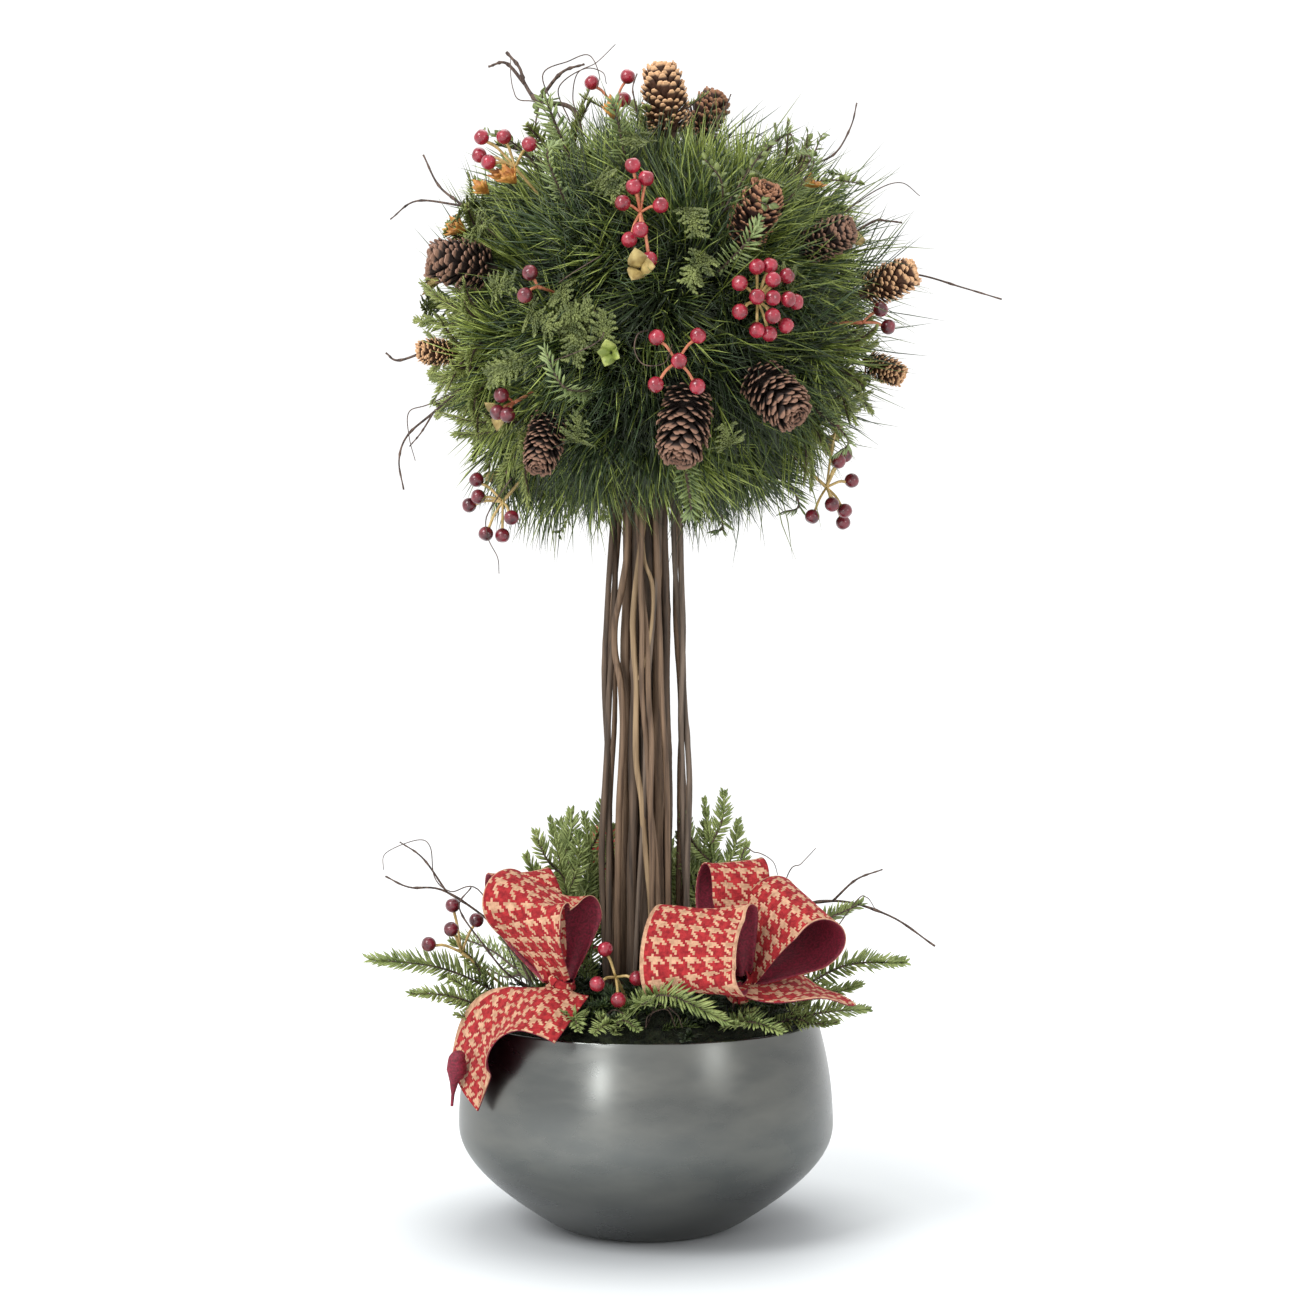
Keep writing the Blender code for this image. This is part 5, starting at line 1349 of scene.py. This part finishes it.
def fir_branch(foot, middle, tip, width, draw):
    """A rib with needles. A standing one bushes out with side twigs; a lying one is wide, with two."""
    path = smooth_path(metres([foot, middle, tip]), 10)
    facing = np.array([0.1, -0.75 if middle[1] < BACK_FROM else 0.75, 0.65])
    standing = tip[2] - foot[2] > STANDING_RISE
    share, spacing, splay = STANDING_NEEDLES if standing else LYING_NEEDLES
    made = [feather(path, width * share, spacing, facing, draw, splay)]
    reach = np.linalg.norm(path[-1] - path[0])
    share, spacing, splay = SIDE_NEEDLES
    for number, at in enumerate(SIDE_TWIGS if standing else SIDE_TWIGS[:2]):
        ahead = unit(path[at + 1] - path[at])
        across = unit(np.cross(ahead, facing)) * (1 if number % 2 else -1)
        way = unit(ahead * 0.80 + across * 0.60 + facing * draw.uniform(-0.35, 0.45))
        length = min(reach * (0.50 - 0.014 * at), width * (2.1 if standing else 1.5))
        ends = [path[at] + way * length * 0.5, path[at] + unit(way + ahead * 0.5) * length]
        made.append(feather(smooth_path([path[at], *ends], 5), width * share, spacing, facing, draw, splay))
    return made


draw = np.random.default_rng(21)
branches = [pair for sprig in BASE_FIRS for pair in fir_branch(*sprig, draw)]
fir_base = mottled("fir_base", (0.130, 0.175, 0.050), (0.310, 0.370, 0.130), 80.0, 0.44, specular=0.35)
shown("fir_sprigs", joined([blades for _, blades in branches]), fir_base,
      stands_for=nodes_of("fir_"))
shown("fir_stems", joined([rib for rib, _ in branches]), twig_bark)

# %% Clippings and strands on the moss
# kind, count, furthest seat from the middle, needle length
CLIPPINGS = (("deep", 95, 0.098, 0.012), ("moss", 50, 0.092, 0.013), ("green", 40, 0.092, 0.012))
CLIPPING_SPACING, UPWARDS = 0.0021, np.array([0.0, 0.0, 1.0])
STRANDS, STRAND_REACH, STRAND_RADIUS, STRAND_LENGTHS = 5200, 0.113, 0.00035, (0.005, 0.012)


def clipping(a, r, length, draw):
    """A short feather on the moss at angle a and distance r, pointing mostly away from the middle."""
    start = np.array([r * cos(a), r * sin(a), float(bed_height(r)) - 0.001])
    aside = draw.normal(0, 0.7, 3) * [1, 1, 0]
    way = unit(np.array([cos(a), sin(a), 0]) * 0.5 + aside + [0, 0, draw.uniform(0.2, 0.8)])
    path = smooth_path([start, start + way * 0.014, start + way * 0.026 - [0, 0, 0.003]], 6)
    return feather(path, length, CLIPPING_SPACING, UPWARDS, draw)[1]


for kind, count, reach, length in CLIPPINGS:
    turn = draw.uniform(0, 2 * pi, count)
    far = np.sqrt(draw.uniform(0.10, 1.0, count)) * reach
    made = joined([clipping(a, r, length, draw) for a, r in zip(turn, far)])
    shown(f"clippings_{kind}", made, pine_finish[f"pine_{kind}"])
a, r = draw.uniform(0, 2 * pi, STRANDS), np.sqrt(draw.uniform(0.06, 1.0, STRANDS)) * STRAND_REACH
feet = np.stack([r * np.cos(a), r * np.sin(a), bed_height(r) - 0.002], axis=-1)
ways = unit(draw.normal(0, 1, (STRANDS, 3)) * [1, 1, 0.35] + [0, 0, 0.45])
strands = needles(feet, ways, draw.uniform(*STRAND_LENGTHS, STRANDS), STRAND_RADIUS, draw, SHORT_NEEDLE)
shown("moss_strands", strands, moss)

# %% [markdown]
# ## Ribbon bows
# The ribbon is burlap printed with a houndstooth check and backed with burgundy velvet, with a wire in
# each edge that holds the loops open. A cloth simulation would have to be frozen to keep its shape, so
# each loop follows a drop-shaped line instead, pleated where the knot gathers it. Front and back are
# two layers that lie on each other.

# %% Ribbon strips
RIBBON_WIDTH, LAYER = 0.0635, 0.0006
STRIP_COLUMNS, LOOP_ROWS, BAND_ROWS = 20, 64, 40
ACROSS = np.linspace(0, 1, STRIP_COLUMNS)


def strip(middle, across, face, widths, offset, wave):
    """A closed layer: P(u, v) = middle(v) + across (u - 1/2) w + face (offset + wave(u, v)), two skins."""
    flat = middle[:, None] + across[:, None] * ((ACROSS - 0.5) * widths[:, None])[..., None]
    lift = offset + wave
    over, under = (flat + face[:, None] * (lift + half)[..., None] for half in (LAYER / 2, -LAYER / 2))
    rows, count = len(middle), 2 * STRIP_COLUMNS
    j = np.arange(STRIP_COLUMNS - 1)
    first = np.stack([j + 1, count - 2 - j, count - 1 - j, j], axis=-1)
    last = np.stack([count - 1 - j, count - 2 - j, j + 1, j], axis=-1) + (rows - 1) * count
    out_and_back = np.concatenate([ACROSS, ACROSS[::-1]])
    over_width = out_and_back * widths[:, None] + (RIBBON_WIDTH - widths)[:, None] / 2
    uv = np.stack(np.broadcast_arrays(over_width, distances(middle)[:, None]), axis=-1) * 1000
    quads = np.vstack([ring_faces(rows, count), first, last])
    points, quads, tris, uv = made = shape(np.concatenate([over, under[:, ::-1]], axis=1), quads, uv=uv)
    return (points, quads[:, ::-1], tris, uv) if inside_out(made) else made


def ribbon_layers(middle, across, widths, wave):
    """Two layers on one middle line: the first on the side of tangent x across, the second behind it."""
    tangent = unit(np.gradient(middle, axis=0))
    across = unit(across - tangent * (across * tangent).sum(-1, keepdims=True))
    face = np.cross(tangent, across)
    return [strip(middle, across, face, widths, side * LAYER * 0.52, wave) for side in (1, -1)]


print("points of a strip across:", 2 * STRIP_COLUMNS)

# %% Loops, tails and bands
BAND_RADIUS, BAND_WIDTH, BAND_PLEATS, BAND_PLEAT_DEPTH = 0.0082, 0.019, 2.5, 0.0011
LOOP_PLEATS, PLEAT_DEPTH, PLEAT_FADE, WAVE_DEPTH, EDGE_WAVE_DEPTH = 3.0, 0.0026, 0.22, 0.0012, 0.0016
TAIL_WAVE_DEPTH = 0.0014


def squared(axis, out):
    """Unit vectors: the axis, the way out made square to it, and the side square to both."""
    axis, out = unit(np.array(axis, float)), np.array(out, float)
    out = unit(out - axis * (out @ axis))
    return axis, out, np.cross(axis, out)


def loop_layers(knot, axis, out, reach, girth, shift, width, seed):
    """A drop: out by reach sin(pi t), aside by girth/2 sin(2 pi t) sin(pi t)^0.4, pleated at the knot."""
    axis, out, side = squared(axis, out)
    t = 0.03 + 0.94 * np.linspace(0, 1, LOOP_ROWS)[:, None]
    swell = np.sin(pi * t)
    middle = (knot + out * reach * swell + axis * shift * swell
              + side * (girth / 2 * np.sin(2 * pi * t) * swell ** 0.4 * 1.15))
    draw = np.random.default_rng(seed)
    pleats = np.exp(-swell / PLEAT_FADE) * np.cos(2 * pi * LOOP_PLEATS * ACROSS + draw.uniform(0, 6))
    waves = np.sin(2 * pi * (1.3 * t + 0.35 * ACROSS) + draw.uniform(0, 6)) * swell
    edge_waves = (2 * ACROSS - 1) ** 4 * np.sin(2 * pi * 2.2 * t + draw.uniform(0, 6))
    lift = PLEAT_DEPTH * pleats + WAVE_DEPTH * waves + EDGE_WAVE_DEPTH * edge_waves
    widths = width * np.minimum(1.0, 0.30 + 1.1 * swell[:, 0])
    return ribbon_layers(middle, np.tile(axis, (LOOP_ROWS, 1)), widths, lift)[::-1]


def tail_layers(back_edge, front_edge, seed):
    """A loose end between two edges; its middle line and width follow from them."""
    back, front = smooth_path(metres(back_edge), 16), smooth_path(metres(front_edge), 16)
    across, middle = front - back, (back + front) / 2
    t = np.linspace(0, 1, len(back))[:, None]
    phase = np.random.default_rng(seed).uniform(0, 6)
    wave = TAIL_WAVE_DEPTH * np.sin(2 * pi * (0.9 * ACROSS + 1.1 * t) + phase) * np.minimum(1, 4 * t)
    layers = ribbon_layers(middle, unit(across), np.linalg.norm(across, axis=1), wave)
    upward = np.cross(np.gradient(middle, axis=0), across)[:, 2].mean() > 0
    return layers if upward else layers[::-1]


def knot_band(knot, axis, out):
    """The band round the knot: a ring of narrow ribbon of radius 8 mm, with two and a half pleats."""
    axis, out, side = squared(axis, out)
    f = np.linspace(0.02, 2 * pi - 0.02, BAND_ROWS)[:, None]
    middle = knot + side * np.cos(f) * BAND_RADIUS + axis * np.sin(f) * BAND_RADIUS
    wave = BAND_PLEAT_DEPTH * np.cos(2 * pi * BAND_PLEATS * ACROSS + 0.6 * np.sin(f))
    return ribbon_layers(middle, np.tile(out, (BAND_ROWS, 1)), np.full(BAND_ROWS, BAND_WIDTH), wave)


print("points of one layer of a band:", len(knot_band(np.zeros(3), (0, 0, 1), (0, -1, 0))[0][0]))

# %% Bows
# knot; loops as axis, out, reach, girth, shift, width; the tail's back edge and front edge
BOWS = (
    ((-58, -72, 173),
     [((0.80, -0.46, -0.42), (-0.16, 0.04, 1.0), 0.056, 0.040, -0.042, 0.060),
      ((0.90, 0.30, 0.10), (-0.30, 0.55, 1.0), 0.088, 0.034, -0.010, 0.042)],
     ([(-43, -85, 172), (-66, -75, 175), (-122, -36, 147), (-137, -30, 114)],
      [(-54, -126, 145), (-82, -116, 154), (-93, -97, 140), (-112, -78, 96)])),
    ((62, -74, 177),
     [((0.97, -0.22, -0.06), (0.0, -0.80, 0.60), 0.054, 0.058, -0.026, RIBBON_WIDTH),
      ((0.52, -0.76, -0.38), (0.72, 0.05, 0.70), 0.074, 0.043, 0.0, 0.060),
      ((0.90, 0.40, 0.0), (-0.12, 0.40, 1.0), 0.084, 0.030, 0.010, 0.042)],
     ([(60, -66, 179), (79, -56, 180), (108, -42, 178), (127, -32, 171)],
      [(66, -94, 177), (76, -110, 172), (104, -104, 173), (124, -86, 169)])),
    ((-12, 76, 177),
     [((0.90, -0.40, 0.0), (-0.10, -0.06, 1.0), 0.096, 0.034, 0.0, 0.046),
      ((0.50, 0.80, -0.20), (-0.80, 0.30, 0.55), 0.076, 0.042, 0.0, RIBBON_WIDTH),
      ((-0.55, 0.75, -0.25), (0.80, 0.30, 0.60), 0.076, 0.042, 0.0, RIBBON_WIDTH)],
     ([(-30, 76, 171), (-10, 74, 175), (16, 76, 171)], [(-36, 128, 159), (-10, 130, 155), (24, 132, 147)])),
)
PICK_FOOT, PICK_RADIUS = 0.152, 0.0012
# the left bow's tail ends in a corner that has rolled up, velvet side out, down to its bare wire
CURL = [(-124, -64, 129), (-127, -62, 125), (-128, -61, 117), (-129.5, -60, 109), (-130.3, -60, 101),
        (-131, -60, 93)]
CURL_RADII = (0.0030, 0.0062, 0.0066, 0.0030, 0.0012, 0.0010)
layers, picks = [], []
for number, (knot, loops, tail) in enumerate(BOWS):
    knot = metres(knot)
    layers += [loop_layers(knot, *loop, 100 + 10 * number + k) for k, loop in enumerate(loops)]
    layers += [tail_layers(*tail, 200 + number), knot_band(knot, *loops[0][:2])]
    picks.append(tube([knot * [0.92, 0.92, 0] + [0, 0, PICK_FOOT], knot], np.full(2, PICK_RADIUS), 8))
printed, velvet = (list(side) for side in zip(*layers))
curl = smooth_path(metres(CURL), 6)
velvet.append(tube(curl, np.interp(np.linspace(0, 5, len(curl)), range(6), CURL_RADII), 14))
print("layers of ribbon:", len(printed), "printed and", len(velvet), "of velvet")

# %% [markdown]
# ## The print
# Houndstooth comes from weaving, not drawing: threads in blocks of five dark and three light, crossed
# over two and under two. Drawn as a picture it would blur; worked out from the thread counts it stays
# sharp. The warp shows where (i + j) mod 4 is under 2, and i, j count threads of 1.5 mm.

# %% The houndstooth group
THREAD_MM, BARE_EDGE_MM, HALF_RIBBON_MM = 1.5, 2.5, RIBBON_WIDTH * 500
# counts are compared half a thread above the last one that passes: 0 to 4 of 8 are dark, 0 to 1 of 4 on top
BLOCK, LAST_DARK, TWILL, LAST_OVER = 8.0, 4.5, 4.0, 1.5


def weave_group():
    """Check = warp or weft block by the two-over, two-under rule; Thread = the rise of each thread."""
    tree, given, result = node_group("houndstooth", {"Thread Size": "Float"},
                                     {"Check": "Float", "Thread": "Float", "Across": "Float"})
    place = uv_parts(tree)
    ways = [maths(tree, "DIVIDE", place[axis], given["Thread Size"]) for axis in "XY"]
    counts = [maths(tree, "FLOOR", way) for way in ways]
    blocks = [maths(tree, "FLOORED_MODULO", count, BLOCK) for count in counts]
    dark = [maths(tree, "LESS_THAN", block, LAST_DARK) for block in blocks]
    rise = [maths(tree, "ABSOLUTE", maths(tree, "SINE", maths(tree, "MULTIPLY", way, pi))) for way in ways]
    crossing = maths(tree, "FLOORED_MODULO", maths(tree, "ADD", *counts), TWILL)
    over = maths(tree, "LESS_THAN", crossing, LAST_OVER)
    under = maths(tree, "SUBTRACT", 1.0, over)
    for name, (warp, weft) in {"Check": dark, "Thread": rise}.items():
        shown_warp, shown_weft = maths(tree, "MULTIPLY", warp, over), maths(tree, "MULTIPLY", weft, under)
        feed(tree, result, {name: maths(tree, "ADD", shown_warp, shown_weft)})
    feed(tree, result, {"Across": place["X"]})
    return tree


WEAVE = weave_group()
print("nodes in the houndstooth group:", len(WEAVE.nodes))


# %% The two cloths
def burlap_cloth():
    made = mottled("ribbon_burlap", (0.370, 0.200, 0.120), (0.590, 0.350, 0.222), 260.0, 0.88, specular=0.25)
    tree, shader, tan = base_of(made)
    weave = node(tree, "Group", {"Thread Size": THREAD_MM}, node_tree=WEAVE)
    red = mottle(tree, (0.200, 0.010, 0.014), (0.380, 0.025, 0.028), 300.0)["Colour"]
    from_middle = maths(tree, "ABSOLUTE", maths(tree, "SUBTRACT", weave["Across"], HALF_RIBBON_MM))
    inner = maths(tree, "LESS_THAN", from_middle, HALF_RIBBON_MM - BARE_EDGE_MM)
    printed = mixed_colour(tree, maths(tree, "MULTIPLY", inner, weave["Check"]), tan, red)
    feed(tree, shader, {"Base Color": printed, "Normal": relief(tree, weave["Thread"], 0.5, 0.0004)})
    return made


def velvet_cloth():
    """Burgundy pile: a dark base with a soft sheen at grazing angles."""
    made = mottled("ribbon_velvet", (0.085, 0.004, 0.012), (0.230, 0.009, 0.032), 700.0, 0.70, bump=0.25,
                   depth=0.0004)
    tree, shader, _ = base_of(made)
    feed(tree, shader, {"Sheen Weight": 0.12, "Sheen Roughness": 0.4, "Sheen Tint": (0.90, 0.10, 0.18, 1.0)})
    return made


shown("ribbon_print", joined(printed), burlap_cloth(),
      stands_for=["bow_left", "bow_right", "bow_back"])
shown("ribbon_velvet", joined(velvet), velvet_cloth())
shown("bow_picks", joined(picks), twig_bark)

# %% [markdown]
# ## Floor and light
# A pale floor, greyer round the bowl as painted shadow, and soft lamps, as in a studio: a large one high on
# the left, a weak one above, two small low ones that the metal mirrors, and a white surround that fills the
# shadows.

# %% The floor
# distance from the middle in metres, and the floor's colour there, greyer near the bowl as painted shadow
PAINTED_SHADOW_FLOOR_TONES = ((0.09, (0.52, 0.54, 0.555)), (0.21, (0.76, 0.79, 0.805)), (0.45, (0.84, 0.86, 0.87)),
               (1.40, (0.97, 0.975, 0.98)))
FLOOR_REACH, FLOOR_DEPTH = 20, 0.0004


def paper(tones):
    """White paper that is greyer near the bowl as painted shadow, and whiter far off: a ramp by the distance
    from the middle.
    """
    made = bpy.data.materials.new("floor_painted_shadow")
    made.use_nodes = True
    tree, furthest = made.node_tree, tones[-1][0]
    place = node(tree, "TexCoord", {})["Object"]
    distance = node(tree, "VectorMath", {0: place}, operation="LENGTH")["Value"]
    ramp = tree.nodes.new("ShaderNodeValToRGB")
    ramp.color_ramp.interpolation = "EASE"
    for _ in tones[2:]:
        ramp.color_ramp.elements.new(0.5)
    for stop, (far, colour) in zip(ramp.color_ramp.elements, tones):
        stop.position = far / furthest
        stop.color = (*colour, 1.0)
    feed(tree, ramp, {"Fac": maths(tree, "DIVIDE", distance, furthest)})
    feed(tree, tree.nodes["Principled BSDF"], {"Base Color": ramp.outputs["Color"], "Roughness": 0.9})
    return made


floor_mesh = bpy.data.meshes.new("floor")
corners = [(x * FLOOR_REACH, y * FLOOR_REACH, -FLOOR_DEPTH) for x, y in ((-1, -1), (1, -1), (1, 1), (-1, 1))]
floor_mesh.from_pydata(corners, [], [(0, 1, 2, 3)])
# painted shadow: the floor's colour greys towards the bowl
floor_mesh.materials.append(paper(PAINTED_SHADOW_FLOOR_TONES))
floor = bpy.data.objects.new("floor", floor_mesh)
bpy.context.scene.collection.objects.link(floor)
print("floor paper tones:", len(PAINTED_SHADOW_FLOOR_TONES))

# %% Lamps and surround
SURROUND_STRENGTH = 1.12
# place, point it is turned towards, size, watts
LAMPS = {
    "key": ((-1.5, -1.6, 2.1), (0, 0, 0.45), 1.1, 48),
    "low_left": ((-0.95, -1.85, 0.55), (0, 0, 0.20), 0.22, 3.8),
    "low_right": ((1.47, -1.49, 0.84), (0, 0, 0.20), 0.42, 4.2),
    "top": ((0.1, 0.5, 2.4), (0, 0, 0.5), 1.4, 14),
}
for name, (place, aim, size, watts) in LAMPS.items():
    lamp = bpy.data.objects.new(name, bpy.data.lights.new(name, "AREA"))
    lamp.data.size = size
    lamp.data.energy = watts
    lamp.location = place
    way = unit(np.array(aim, float) - place)
    lamp.rotation_euler = (np.arccos(-way[2]), 0.0, np.arctan2(-way[0], way[1]))
    bpy.context.scene.collection.objects.link(lamp)
surround = bpy.data.worlds.new("surround")
surround.use_nodes = True
tree = surround.node_tree
feed(tree, tree.nodes["Background"], {"Color": WHITE, "Strength": SURROUND_STRENGTH})
bpy.context.scene.world = surround
print("lamps:", ", ".join(LAMPS))
